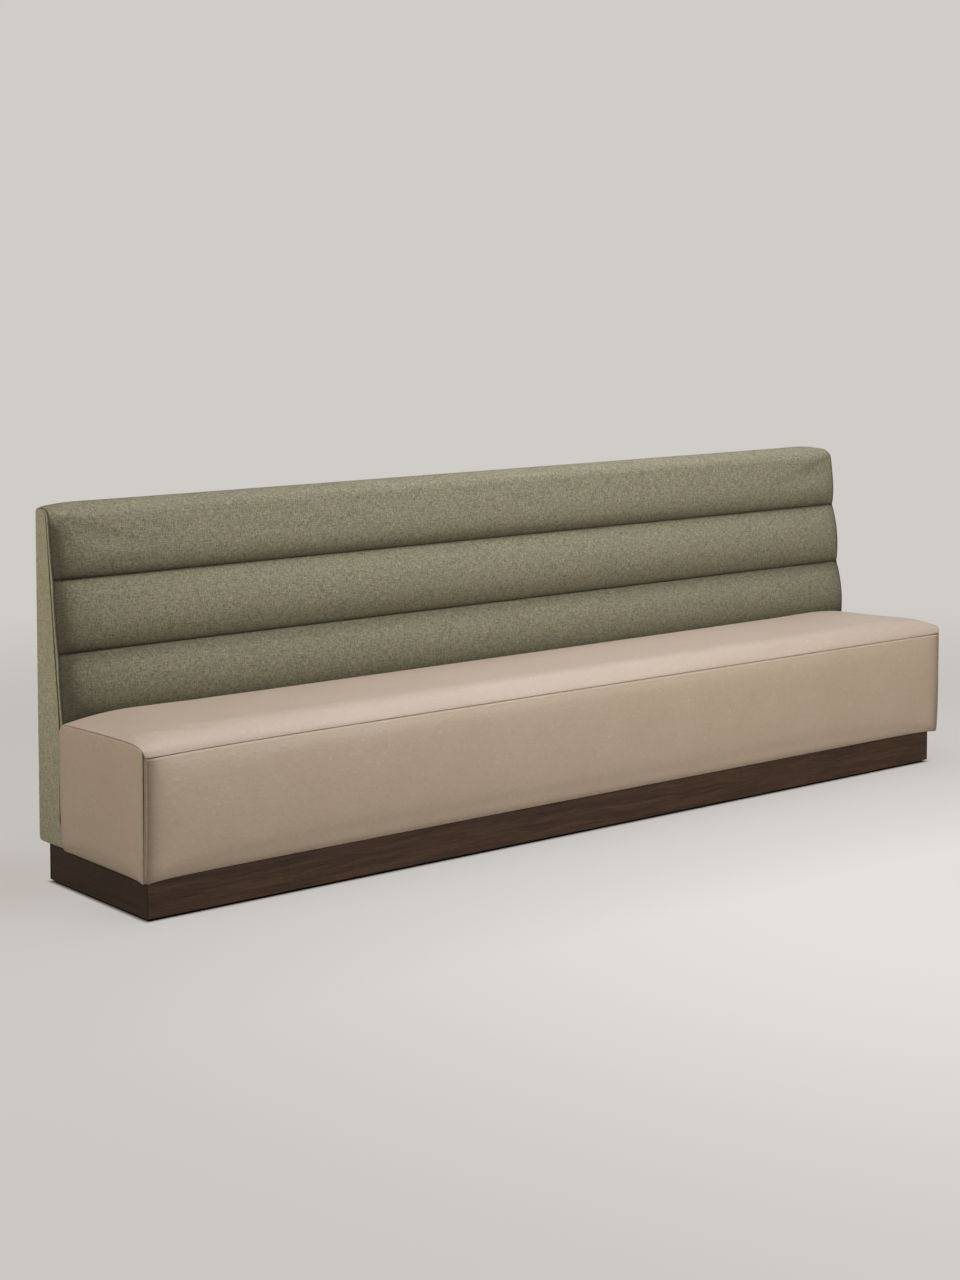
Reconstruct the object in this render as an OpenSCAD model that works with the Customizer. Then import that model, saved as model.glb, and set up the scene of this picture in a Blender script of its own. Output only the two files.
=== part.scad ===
// Upholstered banquette bench: a recessed wooden plinth on levelling glides, a leather
// seat box with a crowned top, and a raked fabric back sewn in horizontal channels.
// Millimetres. X runs along the bench, -Y is the front, +Z is up. The origin lies on the
// floor, under the middle of the bench.

/* [Overall] */
// Length over the ends of the seat
bench_l = 3134; // [2800:10:3400]
// Depth from the fullest point of the seat front to the rear face
bench_d = 590; // [580:5:640]
// Height of the top of the back above the floor
bench_h = 1050; // [1020:5:1110]

/* [Plinth] */
// Height of the plinth boards
plinth_h = 106; // [96:1:130]
// Thickness of the plinth boards and of the rails between them
plinth_t = 18; // [15:1:22]
// Distance of the plinth front behind the fullest point of the seat front
plinth_front_in = 40; // [36:1:55]
// Distance of the plinth ends inside the fullest point of the seat ends
plinth_end_in = 30; // [26:1:60]
// Distance of the plinth rear inside the rear face
plinth_rear_in = 34; // [28:1:45]
// Height of the cross rails between the front and rear boards
cross_rail_h = 90; // [60:1:95]
// Side of the square foot blocks
foot_block_w = 60; // [48:1:70]
// Height of the foot blocks
foot_block_h = 80; // [60:1:90]

/* [Levelling glides] */
// Height of a glide's pad, which is the shadow gap under the plinth
glide_pad_h = 7; // [5:0.5:12]
// Radius of a glide's pad
glide_pad_r = 16; // [13:0.5:20]
// Radius of the threaded stud
glide_stud_r = 4; // [3:0.5:5]
// Length of the stud above its pad
glide_stud_l = 36; // [30:1:48]
// How far a glide screws out of the plinth
glide_travel = 12; // [6:1:14]
// Depth of the stud in its pad
glide_stud_in = 4; // [2:0.5:4.5]
// Radial clearance of the stud in its threaded insert
thread_gap = 0.05; // [0.02:0.01:0.1]
// Wall of the threaded insert
insert_wall = 1.6; // [1:0.1:2.5]
// Radius of the insert's flange
insert_flange_r = 10; // [8:0.5:12]
// Thickness of the insert's flange
insert_flange_t = 1.5; // [1:0.1:2]

/* [Seat] */
// Depth of the seat box, from the fullest point of the front to the back
seat_d = 450; // [430:5:470]
// Height of the top seam on the front above the floor
seat_seam_h = 445; // [425:5:470]
// Rise of the top above that seam in the middle of the seat
seat_crown = 45; // [34:1:57]
// Rise of the top above that seam along the end seams
seat_end_rise = 26; // [18:1:31]
// Length over which the crown falls away towards an end at the back
seat_end_roll = 250; // [180:5:320]
// Length over which it falls away towards an end at the front
seat_end_turn = 45; // [35:1:60]
// Depth of the rolled front edge
seat_roll_d = 100; // [80:5:130]
// Fall of the top from the roll to the back
seat_sag = 7; // [4:1:14]
// Depth of the rounding where the top meets the back
seat_rear_roll_d = 26; // [18:1:34]
// Height of that rounding in the middle
seat_rear_roll_h = 18; // [12:1:24]
// Height of that rounding at the ends
seat_rear_end_h = 33; // [24:1:38]
// Gap between the rear of the cushion and the seat box's rear
seat_crevice = 12; // [10:1:20]
// How far the front leans out from its lower edge to its seam
seat_front_full = 13; // [6:1:18]
// How far the ends lean out from their lower edge to their seam
seat_end_full = 6; // [3:1:10]
// How far the sides are drawn in at the corner seams
seat_corner_in = 3; // [1:0.5:5]
// Length over which the sides are drawn in
seat_draw_l = 60; // [40:5:90]
// Radius of the tucked lower edge
seat_tuck_r = 10; // [7:0.5:14]
// Width of the strip sewn into a corner seam
corner_strip = 5; // [4:0.5:8]
// Thickness of the padding on the front and ends at their lower edge
seat_side_pad = 20; // [17:1:26]
// Height of the deck's top above the floor
seat_deck_h = 385; // [350:5:400]

/* [Back] */
// Distance of the back's ends inside the fullest point of the seat ends
back_end_in = 16; // [12:1:30]
// Angle that the front of the back leans back
back_rake = 6.7; // [4:0.1:8]
// Height of the lowest channel seam above the floor
back_seam_h = 443; // [436:1:460]
// Height of a channel from seam to seam
channel_h = 200; // [170:5:215]
// Fullness of a channel in the middle of the back
channel_full = 22; // [12:1:26]
// Fullness of a channel at the end seams
channel_end_full = 4; // [2:0.5:7]
// Length over which the channels are drawn in at the end seams
channel_draw_l = 70; // [50:5:120]
// Height of the rounding at the top of the front
back_roll_h = 38; // [30:1:46]
// Radius of the rear top corner
back_rear_r = 15; // [10:0.5:20]
// Depth of the flat part of the top
back_top_flat = 24; // [16:1:28]
// Fall of the top at the end seams
back_top_drop = 6; // [1:0.5:8]
// Depth of the padding at the channel seams
back_pad = 30; // [26:1:34]
// Thickness of the padding on the back's ends
wadding_t = 5; // [3:0.5:8]

/* [Boards] */
// Thickness of the seat box boards and of the back's ribs
board_t = 18; // [15:1:21]
// Thickness of the board behind the channels
face_board_t = 9; // [6:0.5:10]
// Thickness of the rear panel's board
rear_board_t = 5; // [3:0.5:6]
// Height of the lower rail of the back
back_rail_h = 160; // [130:5:200]
// Depth that the padding stands above the boards at the top of the back
back_cap = 36; // [30:1:42]

/* [Cover and clearance] */
// Thickness of the leather and the fabric
cover_t = 1.5; // [1:0.1:2]
// Clearance between soft pieces and what they cover
soft_gap = 0.5; // [0.3:0.1:0.7]

/* [Fixings] */
// Radius of the bolts that hold the back to the seat
bolt_r = 4; // [3:0.5:5]
// Height of those bolts above the underside of the seat
bolt_z = 85; // [60:5:110]
// Radius across the corners of a bolt's head
bolt_head_r = 7.5; // [6:0.5:9]
// Height of a bolt's head
bolt_head_h = 5.3; // [4:0.1:7]
// Radius of a washer
washer_r = 12; // [10:0.5:15]
// Thickness of a washer
washer_t = 1.6; // [1:0.1:2.5]
// Thickness of a flanged nut's flange
nut_flange_t = 1.5; // [1:0.1:2.5]
// Length of a flanged nut's barrel
nut_barrel_l = 10; // [8:0.5:12]
// Wall of a flanged nut's barrel
nut_wall = 1; // [0.8:0.1:1.5]
// Clearance round bolts and screws in their holes
hole_gap = 0.2; // [0.1:0.05:0.4]
// Length of a bracket's legs
bracket_leg = 30; // [24:1:36]
// Width of a bracket
bracket_w = 40; // [30:1:50]
// Thickness of a bracket
bracket_t = 2; // [1.5:0.1:3]
// Radius of a bracket screw
screw_r = 2; // [1.5:0.1:2.5]
// Length of a bracket screw's shank
screw_l = 14; // [12:0.5:16]
// Radius of a bracket screw's head
screw_head_r = 4; // [3.2:0.1:5]
// Height of a bracket screw's head
screw_head_h = 2; // [1.4:0.1:3]

/* [Hidden] */

$fn = 14;
// Overrun of every cut past the face that it opens
over = 1;
// Facets in which a pad is drawn
pad_sides = 28;
// Sides of a bolt head
hex_sides = 6;

// Colours
wood_c = [0.24, 0.16, 0.11];
inner_wood_c = [0.72, 0.58, 0.42];
leather_c = [0.72, 0.64, 0.55];
fabric_c = [0.47, 0.47, 0.38];
foam_c = [0.93, 0.90, 0.76];
steel_c = [0.70, 0.70, 0.72];
pad_c = [0.08, 0.08, 0.09];

// Main planes
front_y = -bench_d / 2;
rear_y = bench_d / 2;
seat_half = bench_l / 2;
back_half = seat_half - back_end_in;
plinth_z = glide_pad_h + plinth_h;
seat_low_y = front_y + seat_front_full;
seat_low_half = seat_half - seat_end_full;
seat_rear_y = front_y + seat_d;
cushion_rear_y = seat_rear_y - seat_crevice;
box_front_y = seat_low_y + seat_side_pad;
box_half = seat_low_half - seat_side_pad;
box_low_z = plinth_z + board_t;
box_top_z = seat_deck_h - board_t;
cover_low_z = plinth_z - cover_t;
under = cover_t + soft_gap;

// Plinth
plinth_half = seat_half - plinth_end_in;
plinth_front_y = front_y + plinth_front_in;
plinth_rear_y = rear_y - plinth_rear_in;
// Places of the cross rails, as shares of the plinth's half length
cross_rail_shares = [-0.5, 0, 0.5];
// Places of the glides, as shares of the outermost glide's place
glide_shares = [-1, -0.33, 0.33, 1];
glide_in = plinth_t + foot_block_w / 2;
glide_half = plinth_half - glide_in;
glide_front_y = plinth_front_y + glide_in;
glide_rear_y = plinth_rear_y - glide_in;
glide_places = concat(
    [for (s = glide_shares) [s * glide_half, glide_front_y]],
    [for (s = glide_shares) [s * glide_half, glide_rear_y]]
);
insert_l = glide_stud_l - glide_travel;
insert_r = glide_stud_r + insert_wall;
pad_top_r_share = 0.85;
pad_edge_share = 0.4;

// Places of the seat ribs and the back's inner ribs, as shares of the box's half length
rib_shares = [-0.66, -0.33, 0, 0.33, 0.66];
// Places of the bolts, as shares of the same half length
bolt_shares = [-0.83, -0.5, -0.17, 0.17, 0.5, 0.83];
// Places of the brackets, as shares of the plinth's half length
bracket_shares = [-0.8, -0.4, -0.16, 0.16, 0.4, 0.8];
rib_half = box_half - board_t;

// Back
back_cover_half = back_half - under;
back_rib_half = back_half - cover_t - wadding_t - 2 * soft_gap;
back_inner_half = back_rib_half - board_t;
back_board_rear_y = rear_y - cover_t - soft_gap;
back_rib_rear_y = back_board_rear_y - rear_board_t;
back_boards_z = bench_h - back_cap;
back_open_z = back_seam_h - seat_side_pad;
upper_seam_h = back_seam_h + 2 * channel_h;
back_roll_z = bench_h - back_roll_h;
back_top_y = rear_y - back_rear_r - back_top_flat;
back_flap_z = back_boards_z + 2 * soft_gap;

// Shares of a channel's height at which its section is drawn
channel_shares = [0, 0.03, 0.1, 0.22, 0.36, 0.5, 0.64, 0.78, 0.9, 0.97];
upper_shares = [0, 0.03, 0.1, 0.22, 0.36, 0.5, 0.68, 0.84, 1];
// Fullness kept at the top of the upper channel
upper_keep_share = 0.85;
// Shares of the drawn-in length at which the back's section is drawn
back_draw_shares = [0, 0.15, 0.4, 1];
// Shares of the seat's end roll and drawn-in length at which its section is drawn
end_roll_shares = [0.05, 0.11, 0.2, 0.36, 0.62, 1];
draw_shares = [0.2, 0.5, 1];
// Shares of a side's height at which its section is drawn
side_shares = [0.12, 0.28, 0.5, 0.75, 1];
crown_shares = [0.25, 0.5, 0.75, 1];
roll_n = 6;
// Power that squares the rolled front at the end seams
end_roll_power = 0.35;
rear_n = 4;
tuck_n = 3;

// Helper functions
// Rises from 0 at a seam to 1 at the distance d from it
function ease(u, d, p) = u >= d ? 1 : 1 - pow(1 - max(u, 0) / d, p);
function clamp01(t) = min(max(t, 0), 1);
function reversed(v) = [for (i = [len(v) - 1 : -1 : 0]) v[i]];
function lerp(a, b, t) = a + (b - a) * t;
// How far a side of the seat has leaned out at the height z
function side_out(z) = 1 - pow(1 - clamp01((z - plinth_z) / (seat_seam_h - plinth_z)), 2.5);
function seat_drawn(u) = seat_corner_in * (1 - ease(u, seat_draw_l, 2));
// Front face of the seat at the distance u from an end
function seat_front(u, z) =
    seat_low_y - seat_front_full * side_out(z) + seat_drawn(u) * side_out(z);
// End face of the seat at the distance v from the front
function seat_end(v, z) =
    seat_low_half + seat_end_full * side_out(z) - seat_drawn(v) * side_out(z);
// Rise of the top at the distance u from an end, where s runs from the roll to the back
function seat_rise(u, s) =
    let (fall = lerp(ease(u, seat_end_turn, 2.5), ease(u, seat_end_roll, 2.5), s))
    seat_end_rise + (seat_crown - seat_end_rise) * fall;
// Share of the rise reached at the angle a of the rolled front, which is tighter at the ends
function roll_share(u, a) =
    pow(sin(a), lerp(end_roll_power, 1, ease(u, seat_draw_l, 2)));
function seat_rear_h(u) =
    seat_rear_end_h + (seat_rear_roll_h - seat_rear_end_h) * ease(u, seat_end_roll, 2.5);

// Section of the seat's top at the distance u from an end, d below its surface.
// It runs from the front seam over the roll and the crown, and down at the back.
function seat_top_path(u, d, cut) =
    let (
        roll_y = seat_front(u, seat_seam_h) + seat_roll_d,
        rear_y0 = cushion_rear_y - seat_rear_roll_d,
        h = seat_rise(u, 0),
        h_rear = seat_rise(u, 1),
        rear_h = seat_rear_h(u)
    )
    concat(
        [for (i = [0 : roll_n])
            let (a = 90 * i / roll_n)
            [roll_y - (seat_roll_d - d) * cos(a) + cut * cos(a),
             seat_seam_h + (h - d) * roll_share(u, a)]],
        [for (s = crown_shares)
            [lerp(roll_y, rear_y0, s),
             seat_seam_h + seat_rise(u, s) - d - seat_sag * s * s]],
        [for (i = [1 : rear_n])
            let (b = 90 * i / rear_n)
            [rear_y0 + (seat_rear_roll_d - d) * sin(b),
             seat_seam_h + h_rear - seat_sag - rear_h + (rear_h - d) * cos(b)]]
    );

// Height of the end seam at the place y
function end_seam_z(y) =
    let (
        roll_y = seat_front(0, seat_seam_h) + seat_roll_d,
        rear_y0 = cushion_rear_y - seat_rear_roll_d,
        f = clamp01((roll_y - y) / seat_roll_d),
        c = clamp01((y - roll_y) / (rear_y0 - roll_y)),
        r = clamp01((y - rear_y0) / seat_rear_roll_d)
    )
    seat_seam_h + seat_end_rise * roll_share(0, acos(f)) - seat_sag * c * c
    - seat_rear_end_h * (1 - sqrt(1 - r * r));

// Front line of the back, and the fullness of its channels
function back_line(z) = seat_rear_y + soft_gap + (z - back_seam_h) * tan(back_rake);
function back_full(u) =
    channel_end_full + (channel_full - channel_end_full) * ease(u, channel_draw_l, 2);
function bulge(t) = pow(max(1 - pow(abs(2 * t - 1), 2.4), 0), 0.65);
function upper_bulge(t) =
    t < 0.5 ? bulge(t) : 1 - (1 - upper_keep_share) * pow(2 * t - 1, 2);
function back_top(u) = bench_h - back_top_drop * (1 - ease(u, channel_draw_l, 2));

// Section of one whole channel above the seam at the height seam
function channel_path(seam, u, d) =
    [for (t = channel_shares)
        let (z = seam + channel_h * t)
        [back_line(z) - back_full(u) * bulge(t) + d, z]];
// Section of the upper channel, up to the foot of the top roll
function upper_path(u, d) =
    [for (t = upper_shares)
        let (z = lerp(upper_seam_h, back_roll_z, t))
        [back_line(z) - back_full(u) * upper_bulge(t) + d, z]];
// Section over the top and down to the rear face
function top_path(u, d) =
    let (
        roll_d = back_top_y - back_line(back_roll_z) + back_full(u) * upper_keep_share,
        roll_h = back_top(u) - back_roll_z
    )
    concat(
        [for (i = [1 : roll_n])
            let (a = 90 * i / roll_n)
            [back_top_y - (roll_d - d) * cos(a), back_roll_z + (roll_h - d) * sin(a)]],
        [for (i = [0 : rear_n])
            let (a = 90 * i / rear_n)
            [rear_y - back_rear_r + (back_rear_r - d) * sin(a),
             back_top(u) - back_rear_r + (back_rear_r - d) * cos(a)]],
        [[rear_y - d, back_flap_z]]
    );
function back_path(u, d) =
    concat(
        channel_path(back_seam_h, u, d),
        channel_path(back_seam_h + channel_h, u, d),
        upper_path(u, d),
        top_path(u, d)
    );

// Closed solids between two grids of points
// Both grids are lists of rows. The first grid is the outer face, and its rows and
// columns run so that the row direction crossed with the column direction points out.
function quad(a, b, c, d) = [[a, b, c], [a, c, d]];
module slab(outer, inner) {
    nu = len(outer);
    nv = len(outer[0]);
    n = nu * nv;
    points = concat([for (r = outer) each r], [for (r = inner) each r]);
    skins = [
        for (i = [0 : nu - 2])
            for (j = [0 : nv - 2])
                let (a = i * nv + j, b = a + nv)
                each concat(quad(a, a + 1, b + 1, b), quad(n + a, n + b, n + b + 1, n + a + 1))
    ];
    row_sides = [
        for (j = [0 : nv - 2])
            let (a = j, b = (nu - 1) * nv + j)
            each concat(quad(a, n + a, n + a + 1, a + 1), quad(b, b + 1, n + b + 1, n + b))
    ];
    column_sides = [
        for (i = [0 : nu - 2])
            let (a = i * nv, b = a + nv - 1)
            each concat(quad(a, a + nv, n + a + nv, n + a), quad(b, n + b, n + b + nv, b + nv))
    ];
    polyhedron(points = points, faces = concat(skins, row_sides, column_sides), convexity = 6);
}

module box(x0, x1, y0, y1, z0, z1) {
    translate([x0, y0, z0])
        cube([x1 - x0, y1 - y0, z1 - z0]);
}

// Turns a section in Y and Z into a board from x0 to x1
module board_x(points, x0, x1) {
    translate([x0, 0, 0])
        rotate([90, 0, 90])
            linear_extrude(height = x1 - x0)
                polygon(points);
}

// A rod along +Z with its foot at a place
module rod(place, r, h) {
    translate(place)
        cylinder(r = r, h = h);
}

// Plinth
// A plinth board along X with mitred ends, its outer face at y_out
module long_board(y_out, y_in, c) {
    color(c)
        translate([0, 0, glide_pad_h])
            linear_extrude(height = plinth_h)
                polygon([
                    [-plinth_half, y_out], [plinth_half, y_out],
                    [plinth_half - plinth_t, y_in], [-plinth_half + plinth_t, y_in],
                ]);
}
module end_board(side) {
    color(wood_c)
        translate([0, 0, glide_pad_h])
            linear_extrude(height = plinth_h)
                polygon([
                    [side * plinth_half, plinth_front_y],
                    [side * plinth_half, plinth_rear_y],
                    [side * (plinth_half - plinth_t), plinth_rear_y - plinth_t],
                    [side * (plinth_half - plinth_t), plinth_front_y + plinth_t],
                ]);
}
module plinth_front_board() {
    difference() {
        long_board(plinth_front_y, plinth_front_y + plinth_t, wood_c);
        bracket_board_holes();
    }
}
module plinth_rear_board() {
    long_board(plinth_rear_y, plinth_rear_y - plinth_t, wood_c);
}
module plinth_left_board() {
    end_board(-1);
}
module plinth_right_board() {
    end_board(1);
}
module plinth_cross_rails() {
    color(inner_wood_c)
        for (s = cross_rail_shares)
            box(s * plinth_half - plinth_t / 2, s * plinth_half + plinth_t / 2,
                plinth_front_y + plinth_t, plinth_rear_y - plinth_t,
                plinth_z - cross_rail_h, plinth_z);
}
module plinth_foot_blocks() {
    color(inner_wood_c)
        for (p = glide_places)
            difference() {
                box(p[0] - foot_block_w / 2, p[0] + foot_block_w / 2,
                    p[1] - foot_block_w / 2, p[1] + foot_block_w / 2,
                    glide_pad_h, glide_pad_h + foot_block_h);
                rod([p[0], p[1], glide_pad_h - over], insert_r, glide_stud_l + 2 * over);
                rod([p[0], p[1], glide_pad_h - over], insert_flange_r,
                    insert_flange_t + over);
            }
}
module foot_inserts() {
    color(steel_c)
        for (p = glide_places)
            difference() {
                union() {
                    rod([p[0], p[1], glide_pad_h], insert_r, insert_l);
                    rod([p[0], p[1], glide_pad_h], insert_flange_r, insert_flange_t);
                }
                rod([p[0], p[1], glide_pad_h - over], glide_stud_r + thread_gap,
                    insert_l + 2 * over);
            }
}

// Levelling glides
module foot_pad(i) {
    p = glide_places[i - 1];
    color(pad_c)
        difference() {
            translate([p[0], p[1], 0])
                rotate_extrude($fn = pad_sides)
                    polygon([
                        [0, 0], [glide_pad_r, 0],
                        [glide_pad_r, glide_pad_h * pad_edge_share],
                        [glide_pad_r * pad_top_r_share, glide_pad_h],
                        [0, glide_pad_h],
                    ]);
            rod([p[0], p[1], glide_pad_h - glide_stud_in], glide_stud_r, glide_stud_in + over);
        }
}
module foot_stud(i) {
    p = glide_places[i - 1];
    color(steel_c)
        rod([p[0], p[1], glide_pad_h - glide_stud_in], glide_stud_r,
            glide_stud_l + glide_stud_in);
}

// Brackets between the plinth front and the seat's base
function bracket_x(s) = s * plinth_half;
bracket_y = plinth_front_y + plinth_t;
bracket_mid = bracket_t + (bracket_leg - bracket_t) / 2;
module bracket_board_holes() {
    for (s = bracket_shares)
        translate([bracket_x(s), bracket_y + over, plinth_z - bracket_mid])
            rotate([90, 0, 0])
                cylinder(r = screw_r + hole_gap, h = screw_l + over);
}
module bracket_base_holes() {
    for (s = bracket_shares)
        rod([bracket_x(s), bracket_y + bracket_mid, plinth_z - over],
            screw_r + hole_gap, screw_l + over);
}
module plinth_brackets() {
    color(steel_c)
        for (s = bracket_shares)
            difference() {
                union() {
                    box(bracket_x(s) - bracket_w / 2, bracket_x(s) + bracket_w / 2,
                        bracket_y, bracket_y + bracket_t,
                        plinth_z - bracket_leg, plinth_z);
                    box(bracket_x(s) - bracket_w / 2, bracket_x(s) + bracket_w / 2,
                        bracket_y, bracket_y + bracket_leg,
                        plinth_z - bracket_t, plinth_z);
                }
                translate([bracket_x(s), bracket_y + bracket_t + over, plinth_z - bracket_mid])
                    rotate([90, 0, 0])
                        cylinder(r = screw_r + hole_gap, h = bracket_t + 2 * over);
                rod([bracket_x(s), bracket_y + bracket_mid, plinth_z - bracket_t - over],
                    screw_r + hole_gap, bracket_t + 2 * over);
            }
}
// A screw that points along +Z, with the underside of its head at zero
module screw() {
    cylinder(r = screw_r, h = screw_l);
    translate([0, 0, -screw_head_h])
        cylinder(r = screw_head_r, h = screw_head_h);
}
module bracket_screws() {
    color(steel_c)
        for (s = bracket_shares) {
            translate([bracket_x(s), bracket_y + bracket_t, plinth_z - bracket_mid])
                rotate([90, 0, 0])
                    screw();
            translate([bracket_x(s), bracket_y + bracket_mid, plinth_z - bracket_t])
                screw();
        }
}

// Seat box
module seat_base_board() {
    color(inner_wood_c)
        difference() {
            box(-box_half, box_half, box_front_y, seat_rear_y, plinth_z, box_low_z);
            bracket_base_holes();
        }
}
module seat_front_board() {
    color(inner_wood_c)
        box(-rib_half, rib_half, box_front_y, box_front_y + board_t, box_low_z, box_top_z);
}
module seat_rear_board() {
    color(inner_wood_c)
        difference() {
            box(-rib_half, rib_half, seat_rear_y - board_t, seat_rear_y,
                box_low_z, box_top_z);
            for (s = bolt_shares)
                along_y(s * rib_half, seat_rear_y - board_t - over, plinth_z + bolt_z)
                    cylinder(r = bolt_r + hole_gap, h = board_t + 2 * over);
        }
}
module seat_left_board() {
    color(inner_wood_c)
        box(-box_half, -rib_half, box_front_y, seat_rear_y, box_low_z, box_top_z);
}
module seat_right_board() {
    color(inner_wood_c)
        box(rib_half, box_half, box_front_y, seat_rear_y, box_low_z, box_top_z);
}
module seat_ribs() {
    color(inner_wood_c)
        for (s = rib_shares)
            box(s * rib_half - board_t / 2, s * rib_half + board_t / 2,
                box_front_y + board_t, seat_rear_y - board_t, box_low_z, box_top_z);
}
module seat_deck_board() {
    color(inner_wood_c)
        box(-box_half, box_half, box_front_y, seat_rear_y, box_top_z, seat_deck_h);
}

// Seat upholstery
// Distances from an end at which the top is drawn, and the same from both ends
top_u = concat([0, corner_strip], seat_end_roll * end_roll_shares);
front_u = concat([corner_strip + soft_gap], seat_draw_l * draw_shares);
// Section points moved to both ends of the bench: the first half runs in from -X
module seat_top_solid(d, x_in, base, cut) {
    sections = [for (u = top_u) seat_top_path(u, d, max(cut - u, 0))];
    full = [for (i = [0 : len(top_u) - 1])
        let (u = top_u[i])
        base
            ? concat(
                [for (s = [0, 0.5])
                    let (z = lerp(seat_deck_h + soft_gap, seat_seam_h, s))
                    [seat_front(u, z) + d + max(cut - u, 0), z]],
                sections[i],
                [[cushion_rear_y - d, seat_deck_h + soft_gap]])
            : sections[i]];
    m = len(full[0]);
    // The face that backs each section: the deck, or the section one cover's thickness down
    deeper = [for (u = top_u) seat_top_path(u, d + cover_t, 0)];
    backing = [for (i = [0 : len(top_u) - 1])
        base
            ? let (a = full[i][0][0] + board_t, b = cushion_rear_y - d - board_t)
                [for (j = [0 : m - 1]) [lerp(a, b, j / (m - 1)), seat_deck_h + soft_gap]]
            : deeper[i]];
    function place(side, u, p, q) =
        [side * (seat_end(p[0] - seat_front(u, seat_seam_h), p[1]) - x_in - u), q[0], q[1]];
    left = [for (i = [0 : len(top_u) - 1])
        [for (j = [0 : m - 1]) place(-1, top_u[i], full[i][j], full[i][j])]];
    left_in = [for (i = [0 : len(top_u) - 1])
        [for (j = [0 : m - 1]) place(-1, top_u[i], full[i][j], backing[i][j])]];
    right = reversed([for (i = [0 : len(top_u) - 1])
        [for (j = [0 : m - 1]) place(1, top_u[i], full[i][j], full[i][j])]]);
    right_in = reversed([for (i = [0 : len(top_u) - 1])
        [for (j = [0 : m - 1]) place(1, top_u[i], full[i][j], backing[i][j])]]);
    slab(concat(left, right), concat(left_in, right_in));
}
module seat_top_cover() {
    color(leather_c)
        seat_top_solid(0, 0, false, 0);
}
module seat_top_foam() {
    color(foam_c)
        seat_top_solid(under, under, true, corner_strip);
}

// Lower edge, tucked under: distances out from the tuck's centre line, and heights
function tuck(d) =
    [for (i = [0 : tuck_n])
        let (a = 90 * i / tuck_n)
        [seat_tuck_r - (seat_tuck_r - d) * sin(a),
         cover_low_z + seat_tuck_r - (seat_tuck_r - d) * cos(a)]];
// Heights of a side's section from its lower edge to z1, with what the tuck takes off
function side_rows(d, z1) =
    concat(
        tuck(d),
        [for (s = side_shares) [d, lerp(cover_low_z + seat_tuck_r, z1, s)]]
    );
// The front's padding or cover, d below the surface and backed at the plane or offset back
module seat_front_solid(d, z1, flat) {
    rows = side_rows(d, z1);
    rows_in = side_rows(d + cover_t, z1);
    us = front_u;
    function at(side, u, row) =
        [side * (seat_end(0, row[1]) - u - row[0]), seat_front(u, row[1]) + row[0], row[1]];
    function behind(side, u, j) =
        flat
            ? [at(side, u, rows[j])[0], box_front_y - soft_gap, rows[j][1]]
            : at(side, u, rows_in[j]);
    n = len(rows);
    outer = concat(
        [for (u = us) [for (j = [0 : n - 1]) at(-1, u, rows[j])]],
        [for (u = reversed(us)) [for (j = [0 : n - 1]) at(1, u, rows[j])]]
    );
    inner = concat(
        [for (u = us) [for (j = [0 : n - 1]) behind(-1, u, j)]],
        [for (u = reversed(us)) [for (j = [0 : n - 1]) behind(1, u, j)]]
    );
    slab(outer, inner);
}
module seat_front_cover() {
    color(leather_c)
        seat_front_solid(0, seat_seam_h - soft_gap, false);
}
module seat_front_foam() {
    color(foam_c)
        seat_front_solid(under, seat_deck_h, true);
}

// Places along Y at which an end is drawn: those of the top's section, then the rear edge
end_path = seat_top_path(0, 0, 0);
end_first_y = seat_front(0, seat_seam_h) + corner_strip + soft_gap;
end_ys = concat(
    [0],
    [for (p = end_path) if (p[0] > end_first_y + corner_strip) p[0] - end_first_y],
    [seat_rear_y - end_first_y]
);
// The right end. Its front edge leans with the corner, its top follows the end seam, and
// the cover turns in behind the padding to meet the back's end.
module seat_end_solid(d, flat) {
    drop = cover_t + 3 * soft_gap;
    function seam(y) =
        min(end_seam_z(y), end_seam_z(y - drop), end_seam_z(y + drop)) - drop;
    function top_z(y) = flat ? seat_deck_h - soft_gap : seam(y);
    function col(dy, dd, back) =
        let (
            rows = side_rows(dd, top_z(end_first_y + dy)),
            share = dy / (seat_rear_y - end_first_y)
        )
        [for (r = rows)
            let (
                edge_y = seat_front(0, r[1]) + corner_strip + soft_gap + r[0],
                y = lerp(flat ? box_front_y : edge_y, seat_rear_y - dd, share)
            )
            [back ? box_half + soft_gap : seat_end(y - seat_front(0, r[1]), r[1]) - r[0],
             y, r[1]]];
    function turned(dd) =
        [for (r = side_rows(dd, top_z(seat_rear_y)))
            let (x = seat_end(seat_rear_y - dd - seat_front(0, r[1]), r[1]) - r[0])
            [min(back_half + soft_gap, x - cover_t), seat_rear_y - dd, r[1]]];
    outer = [for (dy = end_ys) col(dy, d, false)];
    inner = [for (dy = end_ys) flat ? col(dy, d, true) : col(dy, d + cover_t, false)];
    if (flat)
        slab(outer, inner);
    else
        slab(concat(outer, [turned(d)]), concat(inner, [turned(d + cover_t)]));
}
module seat_right_cover() {
    color(leather_c)
        seat_end_solid(0, false);
}
module seat_left_cover() {
    color(leather_c)
        mirror([1, 0, 0])
            seat_end_solid(0, false);
}
module seat_right_foam() {
    color(foam_c)
        seat_end_solid(under, true);
}
module seat_left_foam() {
    color(foam_c)
        mirror([1, 0, 0])
            seat_end_solid(under, true);
}

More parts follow.
